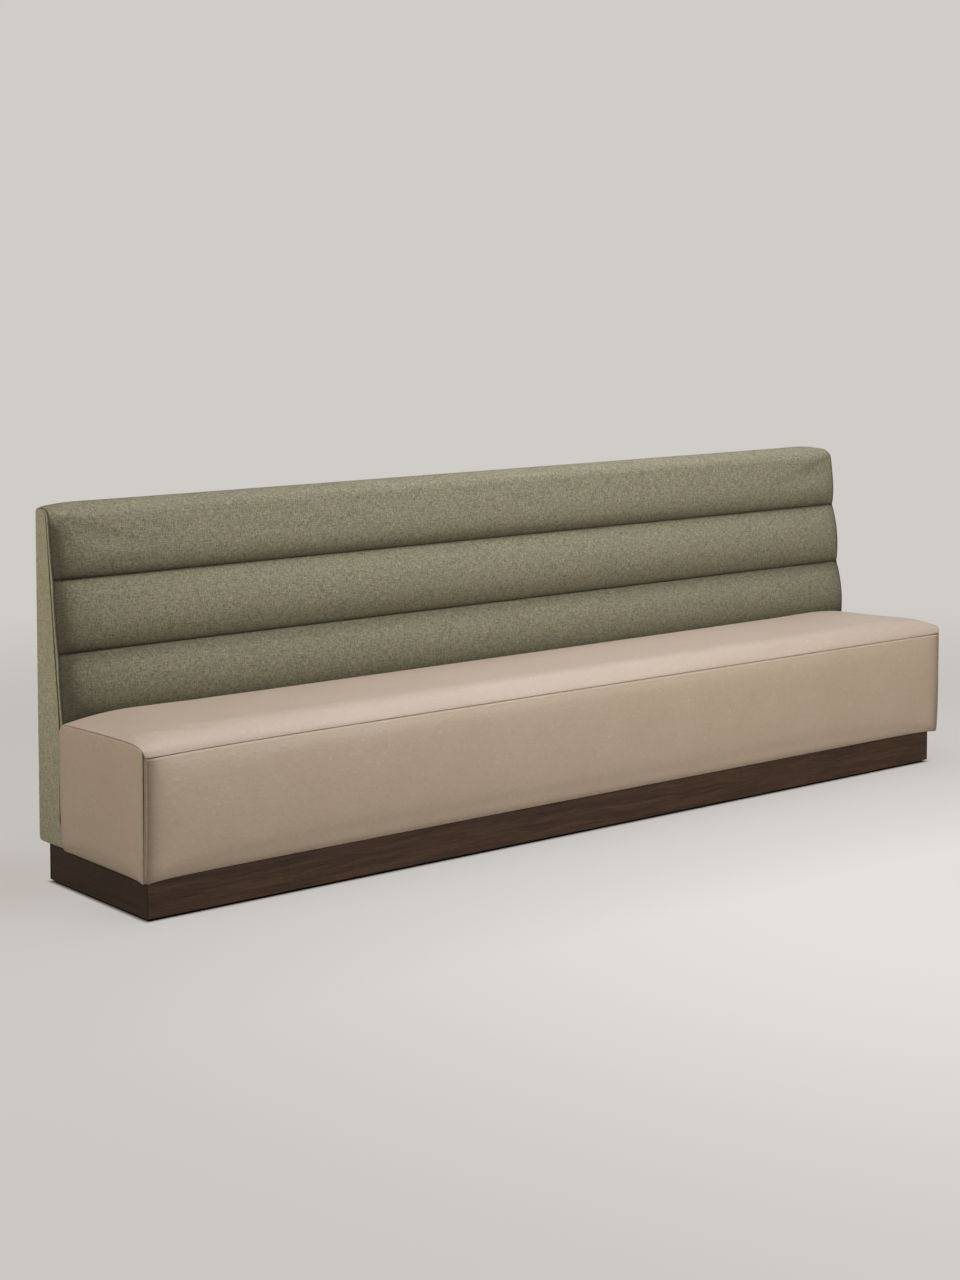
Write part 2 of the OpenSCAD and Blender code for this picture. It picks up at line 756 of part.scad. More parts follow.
// The strip sewn into a corner: a quarter round from the front's edge to the end's edge
module corner_strip_solid() {
    angles = [for (i = [0 : tuck_n]) 90 * i / tuck_n];
    zs = [for (s = concat([0], side_shares))
        lerp(cover_low_z + seat_tuck_r, seat_seam_h - soft_gap, s)];
    function at(a, z, d) =
        let (r = corner_strip - d)
        [seat_end(0, z) - corner_strip + r * sin(a),
         seat_front(0, z) + corner_strip - r * cos(a), z];
    slab(
        [for (a = angles) [for (z = zs) at(a, z, 0)]],
        [for (a = angles) [for (z = zs) at(a, z, cover_t)]]
    );
}
module seat_corner_strips() {
    color(leather_c) {
        corner_strip_solid();
        mirror([1, 0, 0])
            corner_strip_solid();
    }
}

// Bolts between the seat and the back
module along_y(x, y, z) {
    translate([x, y, z])
        rotate([-90, 0, 0])
            children();
}
bolt_head_y = seat_rear_y - board_t - washer_t;
bolt_l = washer_t + 2 * board_t + nut_flange_t + bolt_head_h;
module back_bolts() {
    color(steel_c)
        for (s = bolt_shares)
            along_y(s * rib_half, bolt_head_y, plinth_z + bolt_z) {
                cylinder(r = bolt_r, h = bolt_l);
                translate([0, 0, -bolt_head_h])
                    cylinder(r = bolt_head_r, h = bolt_head_h, $fn = hex_sides);
            }
}
module back_bolt_washers() {
    color(steel_c)
        for (s = bolt_shares)
            along_y(s * rib_half, bolt_head_y, plinth_z + bolt_z)
                difference() {
                    cylinder(r = washer_r, h = washer_t);
                    translate([0, 0, -over])
                        cylinder(r = bolt_r + hole_gap, h = washer_t + 2 * over);
                }
}
module back_bolt_nuts() {
    color(steel_c)
        for (s = bolt_shares)
            along_y(s * rib_half, seat_rear_y + board_t - nut_barrel_l, plinth_z + bolt_z)
                difference() {
                    union() {
                        cylinder(r = bolt_r + hole_gap + nut_wall, h = nut_barrel_l);
                        translate([0, 0, nut_barrel_l])
                            cylinder(r = washer_r, h = nut_flange_t);
                    }
                    translate([0, 0, -over])
                        cylinder(r = bolt_r + thread_gap,
                                 h = nut_barrel_l + nut_flange_t + 2 * over);
                }
}

// Back frame
rib_line = back_pad + face_board_t;
// The ribs' lower rear corner is cut off behind the plinth, inside the cover's rounding
rib_cut = seat_tuck_r + board_t;
function rib_points(y0, z1) = [
    [y0, plinth_z],
    [back_rib_rear_y - rib_cut, plinth_z],
    [back_rib_rear_y, plinth_z + rib_cut],
    [back_rib_rear_y, z1],
    [back_line(z1) + rib_line, z1],
    [back_line(back_open_z) + rib_line, back_open_z],
    [y0, back_open_z],
];
module back_end_ribs() {
    color(inner_wood_c) {
        board_x(rib_points(seat_rear_y, back_boards_z), back_inner_half, back_rib_half);
        board_x(rib_points(seat_rear_y, back_boards_z), -back_rib_half, -back_inner_half);
    }
}
module back_inner_ribs() {
    color(inner_wood_c)
        for (s = rib_shares)
            board_x(rib_points(seat_rear_y + board_t, back_boards_z - board_t),
                    s * rib_half - board_t / 2, s * rib_half + board_t / 2);
}
module back_top_rail() {
    color(inner_wood_c)
        board_x([
            [back_line(back_boards_z - board_t) + rib_line, back_boards_z - board_t],
            [back_rib_rear_y, back_boards_z - board_t],
            [back_rib_rear_y, back_boards_z],
            [back_line(back_boards_z) + rib_line, back_boards_z],
        ], -back_inner_half, back_inner_half);
}
module back_bottom_rail() {
    color(inner_wood_c)
        difference() {
            box(-back_inner_half, back_inner_half, seat_rear_y, seat_rear_y + board_t,
                plinth_z, plinth_z + back_rail_h);
            for (s = bolt_shares)
                along_y(s * rib_half, seat_rear_y - over, plinth_z + bolt_z)
                    cylinder(r = bolt_r + hole_gap + nut_wall, h = board_t + 2 * over);
        }
}
module back_face_board() {
    color(inner_wood_c)
        board_x([
            [back_line(back_open_z) + back_pad, back_open_z],
            [back_line(back_open_z) + rib_line - soft_gap, back_open_z],
            [back_line(back_boards_z) + rib_line - soft_gap, back_boards_z],
            [back_line(back_boards_z) + back_pad, back_boards_z],
        ], -back_rib_half, back_rib_half);
}
module back_rear_board() {
    color(inner_wood_c)
        box(-back_rib_half, back_rib_half, back_rib_rear_y, back_board_rear_y,
            plinth_z + rib_cut, back_boards_z);
}

// Back upholstery
back_u = channel_draw_l * back_draw_shares;
// Rows of points from -X to +X, where path gives a section at the distance u from an end
function both_ends(half, paths) =
    concat(
        [for (i = [0 : len(back_u) - 1]) [for (p = paths[i]) [-(half - back_u[i]), p[0], p[1]]]],
        [for (i = [len(back_u) - 1 : -1 : 0])
            [for (p = paths[i]) [half - back_u[i], p[0], p[1]]]]
    );
// One channel's padding, between the cover and the face board
module channel_foam(seam) {
    top = seam + channel_h - soft_gap;
    outer = [for (u = back_u)
        concat(
            [for (p = channel_path(seam, u, under)) [p[0], max(p[1], seam + soft_gap)]],
            [[back_line(top) + under, top]]
        )];
    inner = [for (s = outer) [for (p = s) [back_line(p[1]) + back_pad - soft_gap, p[1]]]];
    slab(both_ends(back_rib_half, outer), both_ends(back_rib_half, inner));
}
module back_lower_foam() {
    color(foam_c)
        channel_foam(back_seam_h);
}
module back_middle_foam() {
    color(foam_c)
        channel_foam(back_seam_h + channel_h);
}
// The upper padding goes over the top of the boards to the rear face
module back_upper_foam() {
    cap_z = back_boards_z + soft_gap;
    cap_y0 = back_line(back_boards_z) + back_pad;
    n_front = len(upper_shares);
    n_all = n_front + len(top_path(0, under));
    outer = [for (u = back_u)
        concat(
            [for (p = upper_path(u, under)) [p[0], max(p[1], upper_seam_h + soft_gap)]],
            top_path(u, under)
        )];
    inner = [for (s = outer)
        [for (j = [0 : n_all - 1])
            j < n_front
                ? let (z = lerp(s[0][1], cap_z, j / (n_front - 1)))
                    [back_line(z) + back_pad - soft_gap, z]
                : [lerp(cap_y0, rear_y - under - rear_board_t, (j - n_front + 1)
                        / (n_all - n_front)), cap_z]]];
    color(foam_c)
        slab(both_ends(back_rib_half, outer), both_ends(back_rib_half, inner));
}
module back_front_cover() {
    color(fabric_c)
        slab(
            both_ends(back_cover_half, [for (u = back_u) back_path(u, 0)]),
            both_ends(back_cover_half, [for (u = back_u) back_path(u, cover_t)])
        );
}

// Outline of the back's end, d inside its edge, with the lower corners
function end_outline(d) =
    concat(
        [[seat_rear_y + soft_gap + d, plinth_z + d]],
        [for (p = back_path(0, d)) if (p[1] > back_seam_h) p],
        [[rear_y - d, plinth_z + back_rear_r]],
        [for (i = [1 : rear_n])
            let (a = 90 * i / rear_n)
            [rear_y - back_rear_r + (back_rear_r - d) * cos(a),
             plinth_z + back_rear_r - (back_rear_r - d) * sin(a)]]
    );
module back_end_wadding() {
    color(foam_c) {
        board_x(end_outline(under), back_rib_half + soft_gap,
                back_rib_half + soft_gap + wadding_t);
        board_x(end_outline(under), -back_rib_half - soft_gap - wadding_t,
                -back_rib_half - soft_gap);
    }
}
module back_right_cover() {
    color(fabric_c)
        board_x(end_outline(0), back_half - cover_t, back_half);
}
module back_left_cover() {
    color(fabric_c)
        board_x(end_outline(0), -back_half, -back_half + cover_t);
}
// The rear panel's cover, turned under the lower edge
module back_rear_cover() {
    function path(d) = concat(
        [[rear_y - d, back_boards_z], [rear_y - d, plinth_z + back_rear_r]],
        [for (i = [1 : rear_n])
            let (a = 90 * i / rear_n)
            [rear_y - back_rear_r + (back_rear_r - d) * cos(a),
             plinth_z + back_rear_r - (back_rear_r - d) * sin(a)]]
    );
    color(fabric_c)
        board_x(concat(path(0), reversed(path(cover_t))), -back_cover_half, back_cover_half);
}

plinth_front_board();
plinth_rear_board();
plinth_left_board();
plinth_right_board();
plinth_cross_rails();
plinth_foot_blocks();
foot_inserts();
foot_pad(1);  // foot_1_pad
foot_pad(2);  // foot_2_pad
foot_pad(3);  // foot_3_pad
foot_pad(4);  // foot_4_pad
foot_pad(5);  // foot_5_pad
foot_pad(6);  // foot_6_pad
foot_pad(7);  // foot_7_pad
foot_pad(8);  // foot_8_pad
foot_stud(1);  // foot_1_stud
foot_stud(2);  // foot_2_stud
foot_stud(3);  // foot_3_stud
foot_stud(4);  // foot_4_stud
foot_stud(5);  // foot_5_stud
foot_stud(6);  // foot_6_stud
foot_stud(7);  // foot_7_stud
foot_stud(8);  // foot_8_stud
plinth_brackets();
bracket_screws();
seat_base_board();
seat_front_board();
seat_rear_board();
seat_left_board();
seat_right_board();
seat_ribs();
seat_deck_board();
seat_top_foam();
seat_front_foam();
seat_left_foam();
seat_right_foam();
seat_top_cover();
seat_front_cover();
seat_left_cover();
seat_right_cover();
seat_corner_strips();
back_bolts();
back_bolt_washers();
back_bolt_nuts();
back_end_ribs();
back_inner_ribs();
back_top_rail();
back_bottom_rail();
back_face_board();
back_rear_board();
back_lower_foam();
back_middle_foam();
back_upper_foam();
back_end_wadding();
back_front_cover();
back_left_cover();
back_right_cover();
back_rear_cover();
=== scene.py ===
# %% [markdown]
# # An upholstered banquette bench
#
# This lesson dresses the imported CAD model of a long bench. The frame gives the boards, the
# levelling glides and the fixings exactly. The upholstery is drawn again here as soft,
# stuffed forms, because leather and cloth over foam are what the eye reads first.
#
# Every Blender object is in metres and in the frame's own axes: X along the bench, -Y to the
# front and Z up.

# %% Load the frame
import math
import bpy
import numpy as np
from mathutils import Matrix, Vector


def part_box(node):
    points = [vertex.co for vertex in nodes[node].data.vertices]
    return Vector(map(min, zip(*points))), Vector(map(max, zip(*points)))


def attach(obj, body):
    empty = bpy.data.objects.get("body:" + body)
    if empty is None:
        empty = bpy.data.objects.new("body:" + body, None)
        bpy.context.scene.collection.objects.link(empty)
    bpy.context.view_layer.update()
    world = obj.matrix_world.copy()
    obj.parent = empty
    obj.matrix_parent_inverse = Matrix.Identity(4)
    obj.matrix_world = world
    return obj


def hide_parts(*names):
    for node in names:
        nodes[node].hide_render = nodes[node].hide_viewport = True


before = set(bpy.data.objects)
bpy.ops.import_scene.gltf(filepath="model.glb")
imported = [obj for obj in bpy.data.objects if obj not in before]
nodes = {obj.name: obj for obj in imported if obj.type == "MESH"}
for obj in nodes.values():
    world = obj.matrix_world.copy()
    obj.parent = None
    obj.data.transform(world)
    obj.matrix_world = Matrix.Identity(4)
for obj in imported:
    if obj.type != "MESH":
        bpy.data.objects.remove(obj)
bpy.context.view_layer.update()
MM = 0.001

# %% [markdown]
# ## The camera
#
# The camera stands a little above the bench and to its left. Its place, its turn and its lens
# come from straight edges: the plinth, the seams and the top of the back all run along X, and
# they fix the vanishing points. The vertical shift keeps the bench low in the tall frame.

# %% Camera
camera_data = bpy.data.cameras.new("camera")
camera = bpy.data.objects.new("camera", camera_data)
bpy.context.scene.collection.objects.link(camera)
bpy.context.scene.camera = camera
CAMERA_YAW = math.radians(38.99)
CAMERA_PITCH = math.radians(4.15)
PHOTO_ROWS = 1280
CENTRE_ROW = 421.06
LENS_IN_ROWS = 2356.14
camera.location = (-4.6453, -5.467, 1.7412)
camera.rotation_euler = (math.pi / 2 - CAMERA_PITCH, 0, -CAMERA_YAW)
camera_data.sensor_width = 36
camera_data.lens = LENS_IN_ROWS / PHOTO_ROWS * camera_data.sensor_width
camera_data.shift_y = -(PHOTO_ROWS / 2 - CENTRE_ROW) / PHOTO_ROWS
camera_data.clip_end = 200
print("lens:", round(camera_data.lens, 2), "shift:", round(camera_data.shift_y, 4))

# %% [markdown]
# ## Sizes of the upholstery
#
# The soft forms follow the same curves as the CAD solids, so their sizes are repeated here
# in millimetres. A curve such as the seat's crown is a small function of the distance from
# the end of the bench, and works on whole arrays of points at once.

# %% Sizes in millimetres
SEAT_HALF = 1567.0
BACK_HALF = 1551.0
FRONT_Y = -295.0
REAR_Y = 295.0
PLINTH_Z = 113.0
SEAM_Z = 445.0
DECK_Z = 385.0

# The foot of the seat's front and ends, the box behind them, and the tuck under the foot.
LOW_Y = -282.0
LOW_HALF = 1561.0
BOX_FRONT_Y = -262.0
BOX_HALF = 1541.0
CUSHION_REAR_Y = 143.0
TUCK_DEPTH = 14.0
TUCK_RISE = 26.0
TUCK_ARC = 33.0
STRIP = 8.0

# The back: where its first channel starts, a channel's height, its roll, top and rear flap.
BACK_SEAM_Z = 443.0
CHANNEL = 200.0
ROLL_Z = 1012.0
TOP_Z = 1050.0
FLAP_Z = 1015.0
SIDES = ((-1, "left"), (1, "right"))
low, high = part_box("seat_top_cover")
print("seat top in the CAD:", [round(v * 1000) for v in (*low, *high)])


# %% Easing, and how the sides of the seat lean
def ease(u, reach, power):
    """From 0 at an edge to 1 at the distance reach, fast at first."""
    return 1 - np.power(1 - np.clip(u, 0, reach) / reach, power)


def fade(t, reach):
    """From 1 at an edge down towards 0, over a distance of about reach."""
    return np.exp(-np.maximum(t, 0) / reach)


FRONT_LEAN = 13
END_LEAN = 6
CORNER_DRAW = 3
CORNER_REACH = 60


def side_out(z):
    """The share of the lean at a height: 0 at the foot, 1 at the seam."""
    return 1 - np.power(1 - np.clip((z - PLINTH_Z) / (SEAM_Z - PLINTH_Z), 0, 1), 2.5)


def drawn_in(u):
    return CORNER_DRAW * (1 - ease(u, CORNER_REACH, 2))


def seat_front(u, z):
    """Y of the seat's front, at the distance u from an end of the seat."""
    return LOW_Y - FRONT_LEAN * side_out(z) + drawn_in(u) * side_out(z)


def seat_end(v, z):
    """X of the seat's right end, at the distance v from the front."""
    return LOW_HALF + END_LEAN * side_out(z) - drawn_in(v) * side_out(z)


print("seat front at its seam, mm:", float(seat_front(1000, SEAM_Z)))

# %% Curves of the seat's top
EDGE_RISE = 26
CROWN_RISE = 19
ROLL_REACH = 95
CROWN_REACH = 250
LEFT_DIP = 7.5
RIGHT_DIP = 1.0
DIP_REACH = 190
REAR_HEIGHT = 33
REAR_FLATTENS = 15
ROLL_POWER = 0.35
CORNER_ROUND = 0.55


def rise(u, s):
    """Height over the front seam, at u from the end and the share s from roll to rear."""
    near_roll = ease(u, ROLL_REACH, 2)
    return EDGE_RISE + CROWN_RISE * (near_roll + (ease(u, CROWN_REACH, 2.5) - near_roll) * s)


def seam_dip(u, side=-1):
    """The front seam hangs a little lower near the corners, and most at the left one."""
    return np.where(np.asarray(side) < 0, LEFT_DIP, RIGHT_DIP) * fade(u, DIP_REACH)


def rear_height(u):
    return REAR_HEIGHT - REAR_FLATTENS * ease(u, CROWN_REACH, 2.5)


def roll_share(u, angle):
    """The front roll is full near the corners and rounder along the bench."""
    power = ROLL_POWER + CORNER_ROUND * np.cos(angle) ** 8
    power = power + (1.45 - power) * ease(u, 90, 2)
    return np.power(np.clip(np.sin(angle), 0, 1), power)


print("crown over the front seam, mm:", float(rise(1000, 0)))

# %% [markdown]
# ## Building a stuffed panel
#
# A panel of upholstery is a skin with a rolled edge, closed by a plain backing. The skin
# comes from a function that gives a point for a place along the bench and a place across the
# panel. Where the panel ends it dips in a quarter circle, as leather does where it turns into
# a seam. That makes real grooves between the panels, and the finishes only add painted shade to
# darken them.

# %% Lines of a panel's grid
SEAM_MARKS = (-10, -6, -3.5, -1.8, -0.7, 0, 0.7, 1.8, 3.5, 6, 10)


def grid_lines(start, stop, step, roll, marks=()):
    """Even lines, with closer ones over the rolled edges and at each sewn mark."""
    lines = [start, start + 0.12 * roll, start + 0.45 * roll, start + roll]
    lines += [stop, stop - 0.12 * roll, stop - 0.45 * roll, stop - roll]
    count = max(int(round((stop - start - 2 * roll) / step)), 1)
    lines += list(np.linspace(start + roll, stop - roll, count + 1))
    for mark in marks:
        lines = [x for x in lines if abs(x - mark) > 11]
        lines += [mark + d for d in SEAM_MARKS]
    return np.array(sorted(set(round(float(x), 4) for x in lines)))


def more_lines(lines, extra):
    return np.array(sorted(set(lines) | set(extra)))


def lines_at_ends(lines, half, gaps):
    """Extra lines at the given distances from both ends, where a panel bends most."""
    near = [half - gap for gap in gaps]
    return more_lines(lines, near + [-x for x in near])


# %% Skin with rolled edges
PROBE = 0.4


def skin(surface, a, b, rolls, outward):
    """rolls: one radius, or four, for the low and high end of a and then of b."""
    rolls = rolls if isinstance(rolls, tuple) else (rolls,) * 4
    A, B = np.meshgrid(a, b, indexing="ij")
    P = surface(A, B)
    a_hi, a_lo = np.minimum(A + PROBE, a[-1]), np.maximum(A - PROBE, a[0])
    b_hi, b_lo = np.minimum(B + PROBE, b[-1]), np.maximum(B - PROBE, b[0])
    N = np.cross(surface(a_hi, B) - surface(a_lo, B), surface(A, b_hi) - surface(A, b_lo))
    N = outward * N / np.maximum(np.linalg.norm(N, axis=-1, keepdims=True), 1e-9)
    gaps = (A - a[0], a[-1] - A, B - b[0], b[-1] - B)
    depth = np.zeros_like(A)
    for gap, roll in zip(gaps, rolls):
        dip = roll - np.sqrt(np.maximum(roll ** 2 - np.maximum(roll - gap, 0) ** 2, 0))
        depth = np.maximum(depth, dip)
    return P - N * depth[..., None], N, np.minimum.reduce(gaps)


# %% Closing a panel with its backing
SHARP_EDGE = math.radians(65)


def closed_panel(name, outer, inner, a, b, outward):
    """A closed mesh from two grids of points: the skin, and the backing behind it."""
    n, m = outer.shape[:2]
    points = np.concatenate([outer.reshape(-1, 3), inner.reshape(-1, 3)]) * MM
    index = np.arange(n * m).reshape(n, m)
    back = index + n * m

    def quads(*corners):
        return np.stack([corner.ravel() for corner in corners], 1)

    i, j = index, back
    faces = np.concatenate([
        quads(i[:-1, :-1], i[1:, :-1], i[1:, 1:], i[:-1, 1:]),
        quads(j[:-1, :-1], j[:-1, 1:], j[1:, 1:], j[1:, :-1]),
        quads(i[:-1, 0], j[:-1, 0], j[1:, 0], i[1:, 0]),
        quads(i[:-1, -1], i[1:, -1], j[1:, -1], j[:-1, -1]),
        quads(i[0, :-1], i[0, 1:], j[0, 1:], j[0, :-1]),
        quads(i[-1, :-1], j[-1, :-1], j[-1, 1:], i[-1, 1:]),
    ])
    if outward < 0:
        faces = faces[:, ::-1]
    mesh = bpy.data.meshes.new(name)
    mesh.from_pydata(points.tolist(), [], faces.tolist())
    flat = mesh.uv_layers.new(name="cloth")
    A, B = np.meshgrid(a, b, indexing="ij")
    place = np.stack([A.ravel(), B.ravel()], 1) * MM
    place = np.concatenate([place, place])
    corner = np.empty(len(mesh.loops), np.int32)
    mesh.loops.foreach_get("vertex_index", corner)
    flat.data.foreach_set("uv", place[corner].astype(np.float32).ravel())
    mesh.polygons.foreach_set("use_smooth", np.ones(len(mesh.polygons), bool))
    mesh.set_sharp_from_angle(angle=SHARP_EDGE)
    mesh.validate()
    made = bpy.data.objects.new(name, mesh)
    bpy.context.scene.collection.objects.link(made)
    return made


# %% Backing of a panel
def along(points, count):
    """A path through a few corner points, as count evenly spaced points."""
    corners = [np.asarray(p, float) for p in points]
    lengths = [0]
    for p, q in zip(corners[:-1], corners[1:]):
        lengths.append(lengths[-1] + max(float(np.linalg.norm(q - p)), 1e-6))
    path = []
    for s in np.linspace(0, lengths[-1], count):
        k = min(int(np.searchsorted(lengths, s, "right")) - 1, len(corners) - 2)
        f = (s - lengths[k]) / (lengths[k + 1] - lengths[k])
        path.append(corners[k] + (corners[k + 1] - corners[k]) * f)
    return np.array(path)


def backing(x, paths):
    """Points behind the skin: x for each of them, and a path of y and z for each line."""
    return np.concatenate([x[..., None], np.asarray(paths)], -1)


# %% What the cloth and the seams need to know
HELD_EDGE = 2
FREE_WITHIN = 10
soft_pieces = []


def point_values(made, name, values):
    """A number at each point: the skin's own values, and the same again on the backing."""
    layer = made.data.attributes.new(name, "FLOAT", "POINT")
    both = np.concatenate([values.ravel(), values.ravel()]).astype(np.float32)
    layer.data.foreach_set("value", both)


def soft_piece(made, t, cap, outward=1, shade=None, seam=None):
    """t is the distance to the edge, and cap how far the cloth may move, both in mm."""
    free = np.clip((t - HELD_EDGE) / FREE_WITHIN, 0, 1)
    soft_pieces.append((made, free, cap, outward))
    # seam_mm, the distance to a sewn line, sets where a painted dark line runs; shade is
    # painted shade from 0 to 1, kept as the crease attribute, and the finishes darken the
    # colour by it
    point_values(made, "seam_mm", t if seam is None else seam)
    point_values(made, "crease", np.zeros_like(t) if shade is None else shade)
    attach(made, "bench")


# %% [markdown]
# ## The seat's top
#
# One leather panel covers the seat. It starts at the front seam, rolls over a thick edge,
# crowns a little, and turns down into the crevice in front of the back. At the ends the crown
# is pulled down to the end seams. A lofted grid follows that section from end to end, because
# the section changes only near the ends.

# %% Section of the seat's top
ROLL_DEPTH = 100
REAR_TURN_Y = CUSHION_REAR_Y - 20
REAR_TURN = 26
REAR_FALL = 7


def top_section(u, t, side=-1):
    """t counts the parts: the front roll, the crown, the turn at the rear, the drop."""
    roll_y = seat_front(u, SEAM_Z) + ROLL_DEPTH
    angle = np.clip(t, 0, 1) * math.pi / 2
    s = np.clip(t - 1, 0, 1)
    turn = np.clip(t - 2, 0, 1) * math.pi / 2
    drop = np.clip(t - 3, 0, 1)
    y_crown = roll_y + (REAR_TURN_Y - roll_y) * s
    y = np.where(t <= 1, roll_y - ROLL_DEPTH * np.cos(angle), y_crown)
    z_roll = SEAM_Z - seam_dip(u, side) * np.cos(angle) ** 4 + rise(u, 0) * roll_share(u, angle)
    z = np.where(t <= 1, z_roll, SEAM_Z + rise(u, s) - REAR_FALL * s * s)
    z_rear = SEAM_Z + rise(u, 1) - REAR_FALL - rear_height(u)
    y = np.where(t > 2, REAR_TURN_Y + REAR_TURN * np.sin(turn), y)
    z = np.where(t > 2, z_rear + rear_height(u) * np.cos(turn), z)
    z = np.where(t > 3, z_rear + (DECK_Z + 2 - z_rear) * drop, z)
    return y, z


def arc_table(section, last):
    """The length along a section's middle, against its count of parts."""
    t = np.linspace(0, last, 1201)
    y, z = section(np.full_like(t, 1500.0), t)
    length = np.concatenate([[0], np.cumsum(np.hypot(np.diff(y), np.diff(z)))])
    return length, t


top_length, top_t = arc_table(top_section, 4)
print("seat top, from front seam to deck, mm:", round(float(top_length[-1]), 1))

# %% Seat top
CORNER_PULL = 6.5
SEAM_TURN = 3.2


def seat_top_surface(A, B):
    u = SEAT_HALF - np.abs(A)
    y, z = top_section(u, np.interp(B, top_length, top_t), A)
    v = y - seat_front(u, SEAM_Z)
    pull = CORNER_PULL * fade(np.hypot(u, v), 14)
    x = A * seat_end(v, z) / SEAT_HALF - np.sign(A) * pull
    return np.stack([x, y + pull + SEAM_TURN * fade(B, 9), z], -1)


def front_line(t):
    """The front seam's painted dark line is plain near the corners, and faint between them."""
    return 0.35 + 1.45 * ease(t, 160, 1.5)


top_a = grid_lines(-SEAT_HALF, SEAT_HALF, 12, 3)
top_a = lines_at_ends(top_a, SEAT_HALF, (5, 8, 12, 17, 23, 30, 38))
top_b = grid_lines(0, top_length[-1], 9, 3)
outer, _, t = skin(seat_top_surface, top_a, top_b, (1.8, 1.8, 1.3, 2.4), 1)
A, B = np.meshgrid(top_a, top_b, indexing="ij")
front_y = seat_front(SEAT_HALF - np.abs(top_a), SEAM_Z)
deeper = 9 * fade(SEAT_HALF - np.abs(top_a), 18)
paths = [along([(y0 + 8 + more, SEAM_Z - 8), (y0 + 9 + more, DECK_Z + 2), (132, DECK_Z + 2),
                (138, DECK_Z + 2.5)], len(top_b)) for y0, more in zip(front_y, deeper)]
inner = backing(A * (SEAT_HALF - 17) / SEAT_HALF, paths)
seat_top = closed_panel("seat_top", outer, inner, top_a, top_b, 1)
ends_t = SEAT_HALF - np.abs(A)
# Painted dark lines along the edges of the top: the end seams, the front seam and the rear
# edge.
seam = np.minimum(np.minimum(ends_t + 0.2, B + front_line(ends_t)), top_b[-1] - B)
soft_piece(seat_top, t, 3.5, seam=seam)
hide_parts("seat_top_cover", "seat_top_foam")
print("seat top:", len(seat_top.data.polygons), "faces")

# %% [markdown]
# ## The seat's front and ends
#
# The front and the ends are upright panels that lean out a little, tuck under at the foot,
# and are pulled in beside the corner seams. The dip beside the seam, with painted shade laid
# over it, gives a soft dark band on each side of the corner, and a narrow strip, also painted
# dark, stands up in the seam itself.

# %% Side panels of the seat
FOOT_Z = PLINTH_Z - 1.5
TUCK_TOP_Z = FOOT_Z + TUCK_RISE
SEAM_GAP = 0.8
SIDE_LENGTH = TUCK_ARC + SEAM_Z - SEAM_GAP - TUCK_TOP_Z


def upright(b, top):
    """Offset behind the face and height, at the distance b up a side panel."""
    angle = np.clip(b / TUCK_ARC, 0, 1) * math.pi / 2
    off = TUCK_DEPTH - TUCK_DEPTH * np.sin(angle)
    f = np.clip((b - TUCK_ARC) / (SIDE_LENGTH - TUCK_ARC), 0, 1)
    z = np.where(b < TUCK_ARC, TUCK_TOP_Z - TUCK_RISE * np.cos(angle),
                 TUCK_TOP_Z + (top - TUCK_TOP_Z) * f)
    return off, z


def corner_pull(z):
    """How far the corner seam draws both panels in: more towards the top."""
    return 0.6 + 4.2 * side_out(z) ** 2


def droop(t, z):
    """The covers hang a little over the plinth, and most at the corners."""
    return (3 + 2 * fade(t, 60)) * fade(z - PLINTH_Z, 40)


def corner_foot(t):
    """The share of the tuck under the foot that is left beside a corner."""
    return 1 - 0.85 * fade(t, 26)


side_b = more_lines(grid_lines(0, SIDE_LENGTH, 9, 3), (4.0, 8.0, 12.0, 16.0, 20.0, 25.0))


def side_backing(box, face, way, more, top):
    """Behind a side panel: up the box's board, past the deck, and up to the seam."""
    return along([(box - 4 * way, PLINTH_Z + 0.6), (box - 0.6 * way, DECK_Z - 1),
                  (face + (6.5 + more) * way, DECK_Z + 1), (face + (6 + more) * way, top)],
                 len(side_b))


print("side panels, length from foot to seam, mm:", round(SIDE_LENGTH, 1))

# %% Front of the seat
FRONT_BELLY = 3.0
VALLEY = 3.8


def seat_front_surface(A, B):
    t = SEAT_HALF - np.abs(A) - STRIP
    off, z = upright(B, SEAM_Z - SEAM_GAP - seam_dip(t + STRIP, A))
    off = off * corner_foot(t)
    level = np.clip((z - PLINTH_Z) / 50, 0, 1)
    valley = VALLEY * level * fade(t, 19) * (1 - 0.6 * fade(SEAM_Z - z, 28))
    y = seat_front(t + STRIP, z) + off + corner_pull(z) * fade(t, 9) + valley
    height = (z - PLINTH_Z) / (SEAM_Z - PLINTH_Z)
    y = y - FRONT_BELLY * np.sin(math.pi * height) * (1 - fade(t, 60))
    y = y + SEAM_TURN * fade(SEAM_Z - z, 20)
    x = A * (seat_end(0, z) - off) / SEAT_HALF - np.sign(A) * corner_pull(z) * fade(t, 9)
    return np.stack([x, y, z - droop(t, z) * fade(t, 120)], -1)


FRONT_HALF = SEAT_HALF - STRIP
front_a = grid_lines(-FRONT_HALF, FRONT_HALF, 12, 3)
front_a = lines_at_ends(front_a, FRONT_HALF, (5, 8, 12, 17, 23, 30))
outer, _, t = skin(seat_front_surface, front_a, side_b, (1.5, 1.5, 2.4, 1.3), 1)
A, B = np.meshgrid(front_a, side_b, indexing="ij")
front_y = seat_front(SEAT_HALF - np.abs(front_a), SEAM_Z)
deeper = 10 * fade(FRONT_HALF - np.abs(front_a), 18)
paths = [side_backing(BOX_FRONT_Y, y0, 1, more, SEAM_Z - 6 - more / 2)
         for y0, more in zip(front_y, deeper)]
inner = backing(A * (SEAT_HALF - 31) / FRONT_HALF, paths)
seat_front_pad = closed_panel("seat_front_pad", outer, inner, front_a, side_b, 1)
ends_t = FRONT_HALF - np.abs(A)
to_seam = SIDE_LENGTH - B + front_line(ends_t)
seam = np.minimum(np.minimum(ends_t + 1.1, to_seam), B + 1)
